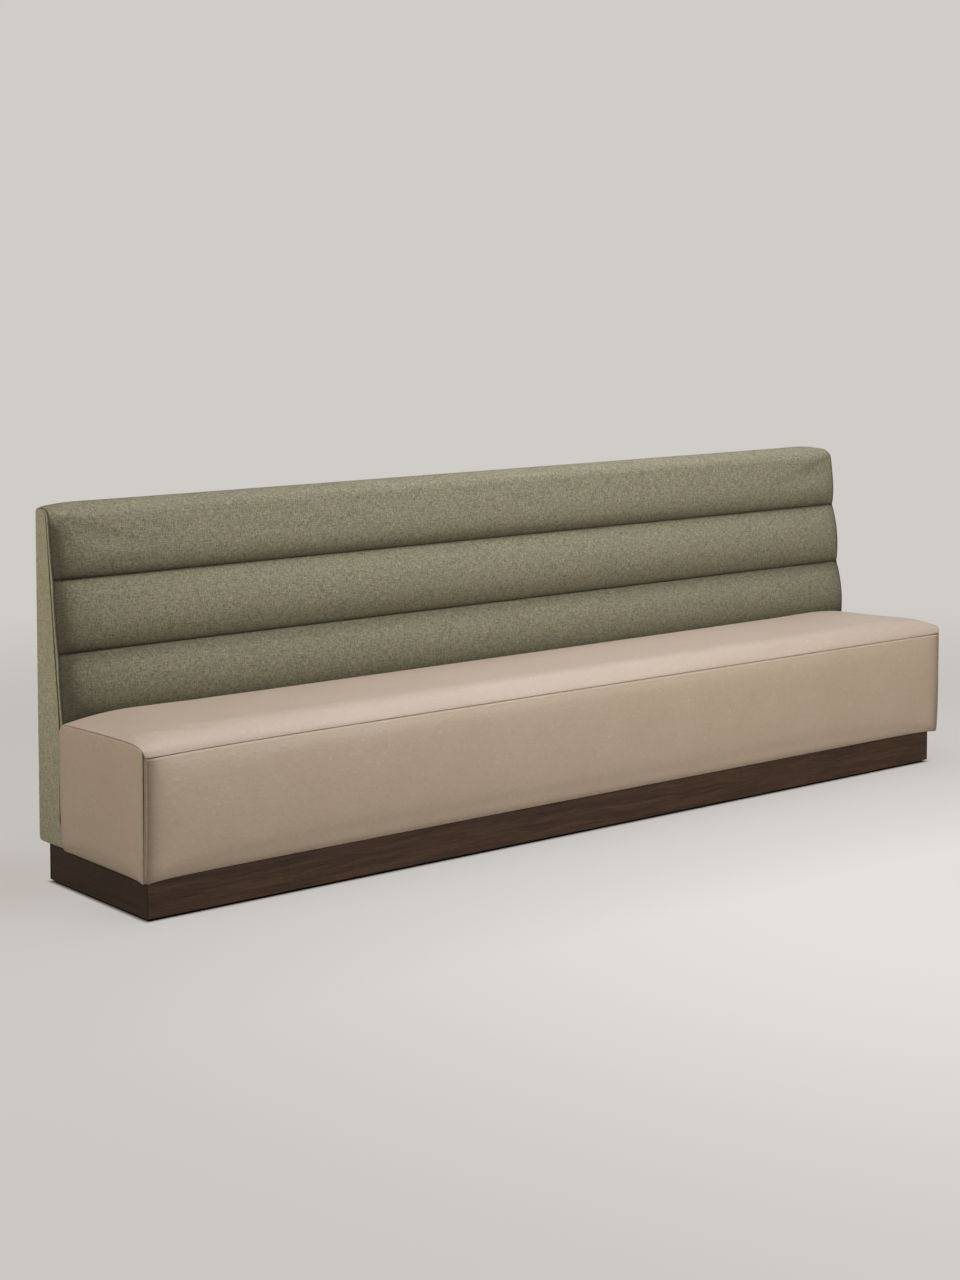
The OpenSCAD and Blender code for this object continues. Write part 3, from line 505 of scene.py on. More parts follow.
# Painted shade: a soft dark band beside each corner seam, over the dip.
soft_piece(seat_front_pad, t, 3, shade=np.exp(-np.power(ends_t / 25, 1.5)),
           seam=seam)
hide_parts("seat_front_cover", "seat_front_foam")
print("seat front:", len(seat_front_pad.data.polygons), "faces")


# %% Seam along an end of the seat
def end_seam_z(y, side):
    """The seam follows the top's section at the very end of the seat."""
    roll_y = seat_front(0, SEAM_Z) + ROLL_DEPTH
    f = np.clip((roll_y - y) / ROLL_DEPTH, 0, 1)
    c = np.clip((y - roll_y) / (REAR_TURN_Y - roll_y), 0, 1)
    r = np.clip((y - REAR_TURN_Y) / REAR_TURN, 0, 1)
    share = np.power(np.sqrt(np.maximum(1 - f * f, 0)), ROLL_POWER + CORNER_ROUND * f ** 8)
    fall = REAR_FALL * c * c + REAR_HEIGHT * (1 - np.sqrt(np.maximum(1 - r * r, 0)))
    return SEAM_Z - seam_dip(0, side) * f ** 4 + EDGE_RISE * share - fall


print("end seam in the middle, mm:", round(float(end_seam_z(0, -1)), 1))

# %% Ends of the seat
END_REAR_Y = 151.0
END_V = END_REAR_Y - FRONT_Y
END_BELLY = 1.5


def seat_end_surface(side):
    def surface(V, B):
        t = V - STRIP
        share = t / (END_V - STRIP)
        top_edge = seat_front(0, SEAM_Z) + STRIP
        y_top = top_edge + (END_REAR_Y - top_edge) * share
        off, z = upright(B, end_seam_z(y_top, side) - SEAM_GAP)
        off = off * (corner_foot(t) - 0.12)
        edge = seat_front(0, z) + STRIP + off
        y = edge + (END_REAR_Y - edge) * share + corner_pull(z) * fade(t, 9)
        x = seat_end(y - seat_front(0, z), z) - off - corner_pull(z) * fade(t, 7)
        level = np.clip((z - 130) / 120, 0, 1)
        x = x + END_BELLY * np.sin(math.pi * np.clip(share, 0, 1)) * level
        return np.stack([side * x, y, z - droop(t, z)], -1)
    return surface


end_v = more_lines(grid_lines(STRIP, END_V, 9, 5), [STRIP + d for d in (8, 12, 17, 23)])
V, B = np.meshgrid(end_v, side_b, indexing="ij")
end_share = (V - STRIP) / (END_V - STRIP)
end_inner_y = (BOX_FRONT_Y + 5) * (1 - end_share) + (END_REAR_Y - 0.5) * end_share
# Painted shade along the rear edge and beside the corner strip.
end_shade = np.maximum(0.35 * fade(END_V - V, 10), 0.3 * fade(V - STRIP, 7))
end_seam = np.minimum(np.minimum(V - STRIP + 0.6, END_V - V),
                      np.minimum(SIDE_LENGTH - B + 0.3, B + 1))
for side, word in SIDES:
    outer, _, t = skin(seat_end_surface(side), end_v, side_b, (2.6, 3, 3, 2), side)
    paths = []
    for v in end_v:
        more = 8 * float(fade(v - STRIP, 14))
        top = float(end_seam_z(seat_front(0, SEAM_Z) + v, side)) - 4 - more / 2
        paths.append(side_backing(BOX_HALF, SEAT_HALF, -1, more, top))
    paths = np.array(paths)
    inner = np.stack([side * paths[..., 0], end_inner_y, paths[..., 1]], -1)
    made = closed_panel(f"seat_{word}_pad", outer, inner, end_v, side_b, side)
    soft_piece(made, t, 2.5, side, end_shade, end_seam)
    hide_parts(f"seat_{word}_cover", f"seat_{word}_foam")
print("seat ends:", len(made.data.polygons), "faces each")


# %% Corner strips
STRIP_IN_X = 7.3
STRIP_IN_Y = 8.0
STRIP_RADIUS = 6.0
STRIP_CORE = 2.2


def corner_strip(side):
    """A narrow rounded strip that stands in the seam between front and end."""
    height = np.linspace(PLINTH_Z + 1, SEAM_Z - (7 if side < 0 else 2), 44)
    angle = np.linspace(-0.45, 1.1, 13) * math.pi / 2
    H, T = np.meshgrid(height, angle, indexing="ij")
    foot = np.clip((TUCK_TOP_Z - H) / TUCK_RISE, 0, 1)
    tuck = TUCK_DEPTH * (1 - np.sqrt(1 - foot ** 2)) * corner_foot(0)
    inward = corner_pull(H) + tuck

    def layer(r):
        x = seat_end(0, H) - STRIP_IN_X - inward + r * np.sin(T)
        y = seat_front(0, H) + STRIP_IN_Y + inward - r * np.cos(T)
        return np.stack([side * x, y, H - droop(0, H)], -1)

    part = closed_panel(f"strip_{side}", layer(STRIP_RADIUS), layer(STRIP_CORE), height,
                        angle * STRIP_RADIUS, -side)
    # Painted shade: a dark line along both edges of the strip, and the whole strip shaded dark
    # like the dip beside it.
    across = np.minimum(T - angle[0], angle[-1] - T) * 5.8 + 0.8
    point_values(part, "seam_mm", across)
    point_values(part, "crease", np.full(H.shape, 0.8))
    return part


def corner_strips():
    parts = [corner_strip(side) for side, _ in SIDES]
    bpy.ops.object.select_all(action="DESELECT")
    for part in parts:
        part.select_set(True)
    bpy.context.view_layer.objects.active = parts[0]
    bpy.ops.object.join()
    parts[0].name = "seat_corner_piping"
    return parts[0]


strips = corner_strips()
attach(strips, "bench")
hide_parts("seat_corner_strips")
print("corner strips:", len(strips.data.polygons), "faces")

# %% [markdown]
# ## The back
#
# The back is one long cover, sewn through into three channels over foam. Each channel
# swells between its seams and is drawn in at the ends. The section is a chain of bulges, so
# a function of height gives it, and a narrow extra groove marks each sewn line.

# %% Curves of the back
BACK_FOOT_Y = 155.5
BACK_SLOPE = math.tan(math.radians(6.7))
UPPER_SEAM_Z = BACK_SEAM_Z + 2 * CHANNEL
CHANNEL_SEAMS = (BACK_SEAM_Z + CHANNEL, UPPER_SEAM_Z)
BACK_SKIN_HALF = 1549.0
BACK_INNER_HALF = 1543.3
END_SWELL = 8.0
FULL_SWELL = 27
ROLL_SWELL = 0.85
GROOVE_DEPTH = 8
GROOVE_HALF = 4.0
ROLL_REAR_Y = 256
EDGE_ROUND = 15
EDGE_Y = REAR_Y - EDGE_ROUND


def back_line(z):
    """Y of the raked line that the channels swell from."""
    return BACK_FOOT_Y + (z - BACK_SEAM_Z) * BACK_SLOPE


def roll_power(u):
    """The roll is rounder at the ends of the back than along it."""
    return 1 + 0.35 * fade(u, 45)


def back_full(u):
    return END_SWELL + (FULL_SWELL - END_SWELL) * ease(u, 62, 1.7)


def back_top(u):
    return TOP_Z - 8 * (1 - ease(u, 110, 2.2)) - 4 * (1 - ease(u, 30, 2))


def bulge(t):
    return np.power(np.maximum(1 - np.power(np.abs(2 * t - 1), 2.0), 0), 0.88)


def channel_swell(t):
    """The swell as a share, over two channels and the flatter upper part."""
    k = np.clip(t - 2, 0, 1)
    upper = np.where(k < 0.5, bulge(k), 1 - (1 - ROLL_SWELL) * (2 * k - 1) ** 2)
    lower = np.where(t <= 1, bulge(np.clip(t, 0, 1)), bulge(np.clip(t - 1, 0, 1)))
    return np.where(t > 2, upper, lower)


print("top of the back, middle and end, mm:", float(back_top(1000)), float(back_top(0)))


# %% Section of the back
def back_section(u, t):
    """t counts the parts: two channels, the upper one, the roll, the top, the rear edge."""
    full = back_full(u)
    low_z = BACK_SEAM_Z + CHANNEL * np.clip(t, 0, 2)
    k = np.clip(t - 2, 0, 1)
    z = np.where(t <= 2, low_z, UPPER_SEAM_Z + (ROLL_Z - UPPER_SEAM_Z) * k)
    y = back_line(z) - full * channel_swell(t)
    for seam_z in CHANNEL_SEAMS:
        y = y + GROOVE_DEPTH * np.exp(-((z - seam_z) / GROOVE_HALF) ** 2)
    top = back_top(u)
    a = np.clip(t - 3, 0, 1) * math.pi / 2
    roll_depth = ROLL_REAR_Y - back_line(ROLL_Z) + full * ROLL_SWELL
    y = np.where(t > 3, ROLL_REAR_Y - roll_depth * np.cos(a), y)
    z = np.where(t > 3, ROLL_Z + (top - ROLL_Z) * np.power(np.sin(a), roll_power(u)), z)
    y = np.where(t > 4, ROLL_REAR_Y + (EDGE_Y - ROLL_REAR_Y) * np.clip(t - 4, 0, 1), y)
    z = np.where(t > 4, top, z)
    c = np.clip(t - 5, 0, 1) * math.pi / 2
    y = np.where(t > 5, EDGE_Y + EDGE_ROUND * np.sin(c), y)
    edge_z = top - EDGE_ROUND
    z = np.where(t > 5, edge_z + EDGE_ROUND * np.cos(c), z)
    z = np.where(t > 6, edge_z + (FLAP_Z - edge_z) * np.clip(t - 6, 0, 1), z)
    return y, z


def back_swell(t):
    over_roll = ROLL_SWELL * np.power(np.maximum(4 - t, 0), 0.8)
    return np.where(t > 3, over_roll, channel_swell(t))


def back_bulge(swell):
    """How far the cover's end stands past its half length, for a swell from 0 to 1."""
    return 7.5 * swell - 3


back_length, back_t = arc_table(back_section, 7)


def back_surface(A, B):
    t = np.interp(B, back_length, back_t)
    ends_t = BACK_SKIN_HALF - np.abs(A)
    y, z = back_section(ends_t, t)
    x = A + np.sign(A) * back_bulge(back_swell(t)) * fade(ends_t, 40)
    return np.stack([x, y, z], -1)


seam_places = [float(np.interp(k, back_t, back_length)) for k in (1, 2)]
print("sewn lines, along the cover, mm:", [round(place) for place in seam_places])


# %% Channels of the back
back_a = grid_lines(-BACK_SKIN_HALF, BACK_SKIN_HALF, 12, 5)
back_a = lines_at_ends(back_a, BACK_SKIN_HALF, (8, 12, 17, 23, 30, 38))
back_b = grid_lines(0, back_length[-1], 9, 4, seam_places)


def back_painted_shade(A, z):
    """Painted shade: beside the ends, over the sewn lines, in the lower groove and at the seat.
    """
    ends_t = BACK_SKIN_HALF - np.abs(A)
    above = np.min([np.where(back_b > s, back_b - s, 400) for s in seam_places], axis=0)
    above = 0.7 * np.exp(-np.power(above / 34, 1.2))[None, :] * (1 - fade(ends_t, 12))
    low_part = 0.7 * fade(back_b - 34, 40)[None, :]
    low_part = low_part + 0.16 * (1 - ease(np.maximum(back_b - 60, 0), 420, 1.5))[None, :]
    under = 0.32 * np.exp(-((back_b - seam_places[0] + 16) / 22) ** 2)[None, :]
    beside = 0.86 * np.exp(-np.power(ends_t / 30, 1.4))
    beside = beside + 0.3 * np.exp(-np.power(ends_t / 120, 1.5))
    beside = beside + 0.13 * np.exp(-np.power(ends_t / 330, 2))
    # The painted shade beside the ends is full at the left end and a fifth of it at the right.
    beside = beside * np.where(A > 0, 0.2, 1) * (1 - np.clip((z - 985) / 40, 0, 1))
    return np.minimum(beside + above + low_part + under, 1)


outer, _, t = skin(back_surface, back_a, back_b, 5, 1)
seam_gap = np.min([np.abs(back_b - s) for s in seam_places], axis=0)
t = np.minimum(t, seam_gap[None, :])
A, B = np.meshgrid(back_a, back_b, indexing="ij")
path = along([(back_line(444.0) + 29, 444.5), (back_line(FLAP_Z) + 29, FLAP_Z),
              (REAR_Y - 8, 1015.5), (REAR_Y - 4, 1016)], len(back_b))
inner = backing(A * BACK_INNER_HALF / BACK_SKIN_HALF, np.repeat(path[None], len(back_a), 0))
back_pad = closed_panel("back_channels", outer, inner, back_a, back_b, 1)
ends_t = BACK_SKIN_HALF - np.abs(A)
tucked = np.where(seam_gap[None, :] < 8, 5 * fade(ends_t - 6, 9) * np.clip(ends_t / 4, 0, 1), 0)
soft_piece(back_pad, t + tucked, 4, shade=back_painted_shade(A, outer[..., 2]))
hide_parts("back_front_cover", "back_lower_foam", "back_middle_foam",
            "back_upper_foam")
print("back channels:", len(back_pad.data.polygons), "faces")

# %% [markdown]
# ## The ends and the rear of the back
#
# Each end is a separate piece of cloth over thin wadding. Its front edge follows the
# channels, so it waves, and a line of stitching runs beside it. The rear is one flat panel
# of the same cloth, stretched over a board and turned under at the foot.

# %% Edges of the back's ends
END_TOP_Z = float(back_top(0.0))


def back_part(z):
    """The part of the back's section that a height on its end lies at."""
    t = np.clip((z - BACK_SEAM_Z) / CHANNEL, 0, 2)
    t = np.where(z > UPPER_SEAM_Z, 2 + (z - UPPER_SEAM_Z) / (ROLL_Z - UPPER_SEAM_Z), t)
    return np.where(z > ROLL_Z, 3 + (z - ROLL_Z) / (END_TOP_Z - ROLL_Z), t)


def end_front_y(z):
    """The wavy front edge, which follows the channels."""
    y = back_line(z) - END_SWELL * channel_swell(back_part(z))
    y = np.where(z < BACK_SEAM_Z, BACK_FOOT_Y, y)
    share = np.clip((z - ROLL_Z) / (END_TOP_Z - ROLL_Z), 0, 1)
    share = np.power(share, 1 / float(roll_power(0.0)))
    roll_depth = ROLL_REAR_Y - back_line(ROLL_Z) + END_SWELL * ROLL_SWELL
    return np.where(z > ROLL_Z, ROLL_REAR_Y - roll_depth * np.sqrt(1 - share ** 2), y)


def end_rear_y(z):
    high = np.clip((z - END_TOP_Z + EDGE_ROUND) / EDGE_ROUND, 0, 1)
    low = np.clip((PLINTH_Z + EDGE_ROUND - z) / EDGE_ROUND, 0, 1)
    return EDGE_Y + EDGE_ROUND * np.sqrt(1 - np.maximum(high, low) ** 2)


print("top of the back's ends, mm:", END_TOP_Z)

# %% Ends of the back
END_WIDTH = 140
END_INNER_X = 1544.2
EDGE_BAND = 12
NARROW = 40
STITCH_IN = 17
STITCH_FOOT_Z = PLINTH_Z + 60


def back_end_surface(side):
    """S runs across the panel, and its outer bands keep their width up the whole edge."""
    def surface(Z, S):
        front, rear = end_front_y(Z), end_rear_y(Z)
        width = rear - front
        from_front, from_rear = S * END_WIDTH, (1 - S) * END_WIDTH
        near = np.minimum(np.minimum(S, 1 - S) * END_WIDTH, EDGE_BAND)
        near = near * np.minimum(1, width / NARROW)
        band = EDGE_BAND / END_WIDTH
        inside = np.clip((S - band) / (1 - 2 * band), 0, 1)
        middle = front + EDGE_BAND + (width - 2 * EDGE_BAND) * inside
        y = np.where(from_rear < EDGE_BAND, rear - near, middle)
        y = np.where(from_front < EDGE_BAND, front + near, y)
        y = np.where(width > NARROW, y, front + width * S)
        full = np.where(Z < BACK_SEAM_Z, 0, back_bulge(back_swell(back_part(Z))) + 1.5)
        groove = 1.8 * np.exp(-((from_front - STITCH_IN) / 2.6) ** 2)
        x = BACK_HALF + 0.8 * np.sin(math.pi * S) ** 0.5 + full * fade(y - front, 24)
        x = x - groove * np.clip((Z - 150) / 50, 0, 1)
        return np.stack([side * x, y, Z], -1)
    return surface


end_z = np.concatenate([
    PLINTH_Z + np.array([0, 0.4, 1.2, 2.6, 4.5, 7, 10, 14]),
    np.arange(PLINTH_Z + 20, 1002, 9.0),
    END_TOP_Z - np.array([32, 26, 20, 15, 11, 8, 5.5, 3.5, 2, 1, 0.35, 0]),
])
end_s = np.array([0, 0.5, 1.6, 3, 5, 8, 11, 13, 14.5, 16, 17.5, 19, 21, 26, 40, 58, 76, 94,
                  112, 128, 132, 135, 137, 138.5, 139.5, 140]) / END_WIDTH
Z, S = np.meshgrid(end_z, end_s, indexing="ij")
width = end_rear_y(Z) - end_front_y(Z)
t = np.minimum(np.minimum(S, 1 - S) * np.minimum(width, END_WIDTH), 40)
t = np.minimum(t, np.minimum(Z - end_z[0], end_z[-1] - Z) + 0.02)
end_depth = 3 - np.sqrt(np.maximum(9 - np.maximum(3 - t, 0) ** 2, 0))
low = end_front_y(Z) + 7 * np.minimum(1, width / NARROW)
# Painted shade: a dark line along the stitched groove, and darker towards the wavy front edge
# and towards the foot.
line = np.abs(S * END_WIDTH - STITCH_IN) * 0.27 + 0.1
end_seam = np.minimum(t, np.where(Z > STITCH_FOOT_Z, line, 99))
end_shade = 0.3 * fade(S * END_WIDTH, 11) + 0.16 * (1 - ease(Z - PLINTH_Z, 420, 1.5))
for side, word in SIDES:
    P = back_end_surface(side)(Z, S)
    P[..., 0] -= side * end_depth
    inner = np.stack([np.full(Z.shape, side * END_INNER_X),
                      low + (end_rear_y(Z) - 1 - low) * S, Z], -1)
    made = closed_panel(f"back_{word}_end", P, inner, end_z, end_s * END_WIDTH, -side)
    soft_piece(made, end_seam, 1, -side, end_shade)
    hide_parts(f"back_{word}_cover")
    if side < 0:
        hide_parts("back_end_wadding")
print("back ends:", len(made.data.polygons), "faces each")


# %% Rear panel of the back
REAR_TURN_ARC = EDGE_ROUND * math.pi / 2


def rear_surface(A, B):
    """A flat sheet that turns in a quarter circle under its lower edge."""
    a = np.clip(B / REAR_TURN_ARC, 0, 1) * math.pi / 2
    y = EDGE_Y + EDGE_ROUND * np.sin(a)
    flat_z = PLINTH_Z + EDGE_ROUND + (B - REAR_TURN_ARC)
    z = np.where(B < REAR_TURN_ARC, PLINTH_Z + EDGE_ROUND - EDGE_ROUND * np.cos(a), flat_z)
    return np.stack([A, y, z], -1)


REAR_HALF = 1548.4
REAR_TOP_Z = 1014
REAR_CLOTH = 1.4
rear_b = grid_lines(0, REAR_TURN_ARC + REAR_TOP_Z - (PLINTH_Z + EDGE_ROUND), 12, 1)
rear_b = more_lines(rear_b, (3.0, 6.0, 9.0, 16.0, 20.0))
rear_a = grid_lines(-REAR_HALF, REAR_HALF, 24, 1)
outer, N, t = skin(rear_surface, rear_a, rear_b, 1, -1)
rear_panel = closed_panel("back_rear_panel", outer, outer - N * REAR_CLOTH, rear_a, rear_b, -1)
point_values(rear_panel, "seam_mm", np.maximum(t, 3))
point_values(rear_panel, "crease", t * 0)
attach(rear_panel, "bench")
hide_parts("back_rear_cover")

# %% [markdown]
# ## Letting the cloth settle
#
# Foam pushes its cover out from inside. Blender's Cloth does the same with a pressure. The
# seams and the backing are pinned, so that only the free parts of each skin swell between
# them, and a cap keeps the settled shape close to the drawn one. The grids are used as they
# are: a remesh would wipe out the rolled edges and the sewn channels.

# %% Open copies of the skins
def skin_copy(made, free, outward):
    """The skin alone, as an open grid, with the freedom of its points as pin weights."""
    n, m = free.shape
    points = np.empty(len(made.data.vertices) * 3, np.float32)
    made.data.vertices.foreach_get("co", points)
    points = points.reshape(-1, 3)[:n * m]
    i = np.arange(n * m).reshape(n, m)
    faces = np.stack([i[:-1, :-1].ravel(), i[1:, :-1].ravel(), i[1:, 1:].ravel(),
                      i[:-1, 1:].ravel()], 1)
    if outward < 0:
        faces = faces[:, ::-1]
    mesh = bpy.data.meshes.new("skin")
    mesh.from_pydata(points.tolist(), [], faces.tolist())
    copy = bpy.data.objects.new("skin of " + made.name, mesh)
    bpy.context.scene.collection.objects.link(copy)
    group = copy.vertex_groups.new(name="pin")
    level = np.round((1 - free.ravel()) * 10).astype(int)
    for step in range(1, 11):
        chosen = np.where(level == step)[0]
        if len(chosen):
            group.add(chosen.tolist(), step / 10, "REPLACE")
    return copy, points


# %% Pressure behind the skins
CLOTH_SETTINGS = {
    "quality": 4, "mass": 0.4, "tension_stiffness": 30, "compression_stiffness": 30,
    "shear_stiffness": 15, "bending_stiffness": 6, "use_pressure": True,
    "uniform_pressure_force": 4, "vertex_group_mass": "pin", "pin_stiffness": 1}


def add_cloth(copy, frames):
    cloth = copy.modifiers.new("cloth", "CLOTH")
    for setting, value in CLOTH_SETTINGS.items():
        setattr(cloth.settings, setting, value)
    cloth.settings.effector_weights.gravity = 0
    cloth.point_cache.frame_start = 1
    cloth.point_cache.frame_end = frames


def settle(pieces, frames=20):
    """Runs all the skins together, and moves each piece's skin as far as its cap lets it."""
    copies = []
    for made, free, _, outward in pieces:
        copy, points = skin_copy(made, free, outward)
        add_cloth(copy, frames)
        copies.append((copy, points))
    for number in range(1, frames + 1):
        bpy.context.scene.frame_set(number)
    graph = bpy.context.evaluated_depsgraph_get()
    for (made, free, cap, _), (copy, rest) in zip(pieces, copies):
        now = np.empty(rest.size, np.float32)
        copy.evaluated_get(graph).data.vertices.foreach_get("co", now)
        move = now.reshape(-1, 3) - rest
        far = np.linalg.norm(move, axis=1)
        limit = cap * MM
        move *= (limit * np.tanh(far / limit) / np.maximum(far, 1e-9))[:, None]
        move *= np.minimum(free.ravel() * 4, 1)[:, None]
        points = np.empty(len(made.data.vertices) * 3, np.float32)
        made.data.vertices.foreach_get("co", points)
        points.reshape(-1, 3)[:len(rest)] += move.astype(np.float32)
        made.data.vertices.foreach_set("co", points)
        made.data.update()
        print(made.name, "settled by up to", round(float(far.max()) * 1000, 1), "mm, kept to",
              round(float(np.linalg.norm(move, axis=1).max()) * 1000, 1), "mm")
    bpy.context.scene.frame_set(1)
    for copy, _ in copies:
        bpy.data.objects.remove(copy)


LEAST_CAP = 1.5
swelling = [piece for piece in soft_pieces if piece[2] > LEAST_CAP]
settle(swelling)
print("padded pieces:", len(soft_pieces), "of which swollen by the cloth:", len(swelling))

# %% [markdown]
# ## Stitches
#
# A row of stitches repeats one small shape along a path, which is what Geometry Nodes do
# best. The tree spaces points along a curve, puts a short thread on each, turns it to the
# curve's direction, and gives it its material. Only the path changes from seam to seam.

# %% A tree for stitches
def stitch_tree():
    tree = bpy.data.node_groups.new("row of stitches", "GeometryNodeTree")
    face = tree.interface
    face.new_socket("Path", in_out="INPUT", socket_type="NodeSocketGeometry")
    for title, value in (("Pitch", 0.0065), ("Length", 0.0045), ("Thickness", 0.0009)):
        socket = face.new_socket(title, in_out="INPUT", socket_type="NodeSocketFloat")
        socket.default_value = value
    face.new_socket("Thread", in_out="INPUT", socket_type="NodeSocketMaterial")
    face.new_socket("Stitches", in_out="OUTPUT", socket_type="NodeSocketGeometry")
    add = tree.nodes.new
    given, result = add("NodeGroupInput"), add("NodeGroupOutput")
    curve = add("GeometryNodeMeshToCurve")
    spaced = add("GeometryNodeResampleCurve")
    spaced.mode = "LENGTH"
    tangent = add("GeometryNodeInputTangent")
    turn = add("FunctionNodeAlignRotationToVector")
    turn.axis = "Z"
    thread = add("GeometryNodeMeshUVSphere")
    thread.inputs["Segments"].default_value = 6
    thread.inputs["Rings"].default_value = 4
    thread.inputs["Radius"].default_value = 0.5
    size = add("ShaderNodeCombineXYZ")
    rows = add("GeometryNodeInstanceOnPoints")
    real = add("GeometryNodeRealizeInstances")
    smooth = add("GeometryNodeSetShadeSmooth")
    finish = add("GeometryNodeSetMaterial")
    for source, given_out, target, taken_in in (
            (given, "Path", curve, "Mesh"), (curve, "Curve", spaced, "Curve"),
            (given, "Pitch", spaced, "Length"), (tangent, "Tangent", turn, "Vector"),
            (given, "Thickness", size, "X"), (given, "Thickness", size, "Y"),
            (given, "Length", size, "Z"), (spaced, "Curve", rows, "Points"),
            (thread, "Mesh", rows, "Instance"), (turn, "Rotation", rows, "Rotation"),
            (size, "Vector", rows, "Scale"), (rows, "Instances", real, "Geometry"),
            (real, "Geometry", smooth, "Geometry"), (smooth, "Geometry", finish, "Geometry"),
            (given, "Thread", finish, "Material"), (finish, "Geometry", result, "Stitches")):
        tree.links.new(source.outputs[given_out], target.inputs[taken_in])
    return tree


STITCHES = stitch_tree()
print("stitch tree:", len(STITCHES.nodes), "nodes")

# %% Laying a row of stitches on a piece
from mathutils import Vector
from mathutils.bvhtree import BVHTree

THREAD_SINK = 0.1
surfaces = {}


def on_surface(piece, points, sink):
    """Moves points, in mm, to the nearest place on a piece, and a little into it."""
    if piece.name not in surfaces:
        surfaces[piece.name] = BVHTree.FromObject(
            piece, bpy.context.evaluated_depsgraph_get())
    placed = []
    for point in points:
        hit, normal, *_ = surfaces[piece.name].find_nearest([float(c) * MM for c in point])
        placed.append(hit - normal * sink * MM)
    return placed


def stitch_row(name, piece, paths, thread, pitch=6.5, length=4.6, thickness=1.0):
    """Threads on a piece along one or more paths. All its lengths are in mm."""
    verts, edges = [], []
    for path in paths:
        placed = on_surface(piece, path, THREAD_SINK)
        first = len(verts)
        verts += [tuple(p) for p in placed]
        edges += [(first + k, first + k + 1) for k in range(len(placed) - 1)]
    mesh = bpy.data.meshes.new(name + "_path")
    mesh.from_pydata(verts, edges, [])
    made = bpy.data.objects.new(name, mesh)
    bpy.context.scene.collection.objects.link(made)
    nodes_on = made.modifiers.new("stitches", "NODES")
    nodes_on.node_group = STITCHES
    values = {"Pitch": pitch * MM, "Length": length * MM, "Thickness": thickness * MM,
              "Thread": thread}
    for item in STITCHES.interface.items_tree:
        if item.in_out == "INPUT" and item.name in values:
            nodes_on[item.identifier] = values[item.name]
    seen = made.evaluated_get(bpy.context.evaluated_depsgraph_get())
    plain = bpy.data.meshes.new_from_object(seen)
    made.modifiers.remove(nodes_on)
    made.data = plain
    plain.name = name
    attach(made, "bench")
    print(name, len(plain.polygons), "faces")


# %% [markdown]
# ## Finishes
#
# Each finish is a Principled BSDF fed by small shared groups. The groups put out only masks
# and colours, so that every finish can use them with its own sizes. All patterns are in
# metres on the object's own axes, or on the flat pattern of the cloth.

# %% Small helpers for node trees
def srgb(r, g, b):
    def linear(c):
        c = c / 255
        return c / 12.92 if c <= 0.04045 else ((c + 0.055) / 1.055) ** 2.4
    return (linear(r), linear(g), linear(b), 1)


def node(tree, kind, inputs=None, **settings):
    made = tree.nodes.new(kind)
    for key, value in settings.items():
        setattr(made, key, value)
    for key, value in (inputs or {}).items():
        if isinstance(value, bpy.types.NodeSocket):
            tree.links.new(value, made.inputs[key])
        else:
            made.inputs[key].default_value = value
    return made


def math_node(tree, operation, a, b=0.0, clamp=False):
    return node(tree, "ShaderNodeMath", {0: a, 1: b}, operation=operation,
                use_clamp=clamp).outputs[0]


def mix_colour(tree, factor, a, b):
    return node(tree, "ShaderNodeMix", {0: factor, 6: a, 7: b}, data_type="RGBA",
                blend_type="MIX", clamp_factor=True).outputs[2]


def vector_math(tree, operation, *values):
    made = node(tree, "ShaderNodeVectorMath", dict(enumerate(values)), operation=operation)
    return made.outputs["Value" if operation in ("DISTANCE", "LENGTH") else "Vector"]


def ramp(tree, value, low, high, start=0.0, end=1.0, shape="LINEAR"):
    """start up to low, end from high on, and a slope between them."""
    return node(tree, "ShaderNodeMapRange",
                {"Value": value, "From Min": low, "From Max": high, "To Min": start,
                 "To Max": end}, interpolation_type=shape).outputs["Result"]


def on_object(tree):
    return node(tree, "ShaderNodeTexCoord").outputs["Object"]


def new_group(title, inputs, outputs):
    tree = bpy.data.node_groups.new(title, "ShaderNodeTree")
    for name, kind, value in inputs:
        socket = tree.interface.new_socket(name, in_out="INPUT",
                                           socket_type="NodeSocket" + kind)
        if value is not None:
            socket.default_value = value
    for name, kind in outputs:
        tree.interface.new_socket(name, in_out="OUTPUT", socket_type="NodeSocket" + kind)
    return tree, node(tree, "NodeGroupInput"), node(tree, "NodeGroupOutput")


# %% Group: clouds, a slow change of shade over a surface
def clouds_group():
    tree, given, result = new_group(
        "clouds",
        [("Place", "Vector", None), ("Size", "Float", 0.1), ("Detail", "Float", 3.0),
         ("Contrast", "Float", 1.0)],
        [("Mask", "Float")])
    per_metre = math_node(tree, "DIVIDE", 1.0, given.outputs["Size"])
    noise = node(tree, "ShaderNodeTexNoise",
                 {"Vector": given.outputs["Place"], "Scale": per_metre,
                  "Detail": given.outputs["Detail"], "Roughness": 0.55})
    centred = math_node(tree, "SUBTRACT", noise.outputs["Fac"], 0.5)
    wide = math_node(tree, "MULTIPLY", centred, given.outputs["Contrast"])
    tree.links.new(math_node(tree, "ADD", wide, 0.5, clamp=True), result.inputs["Mask"])
    return tree


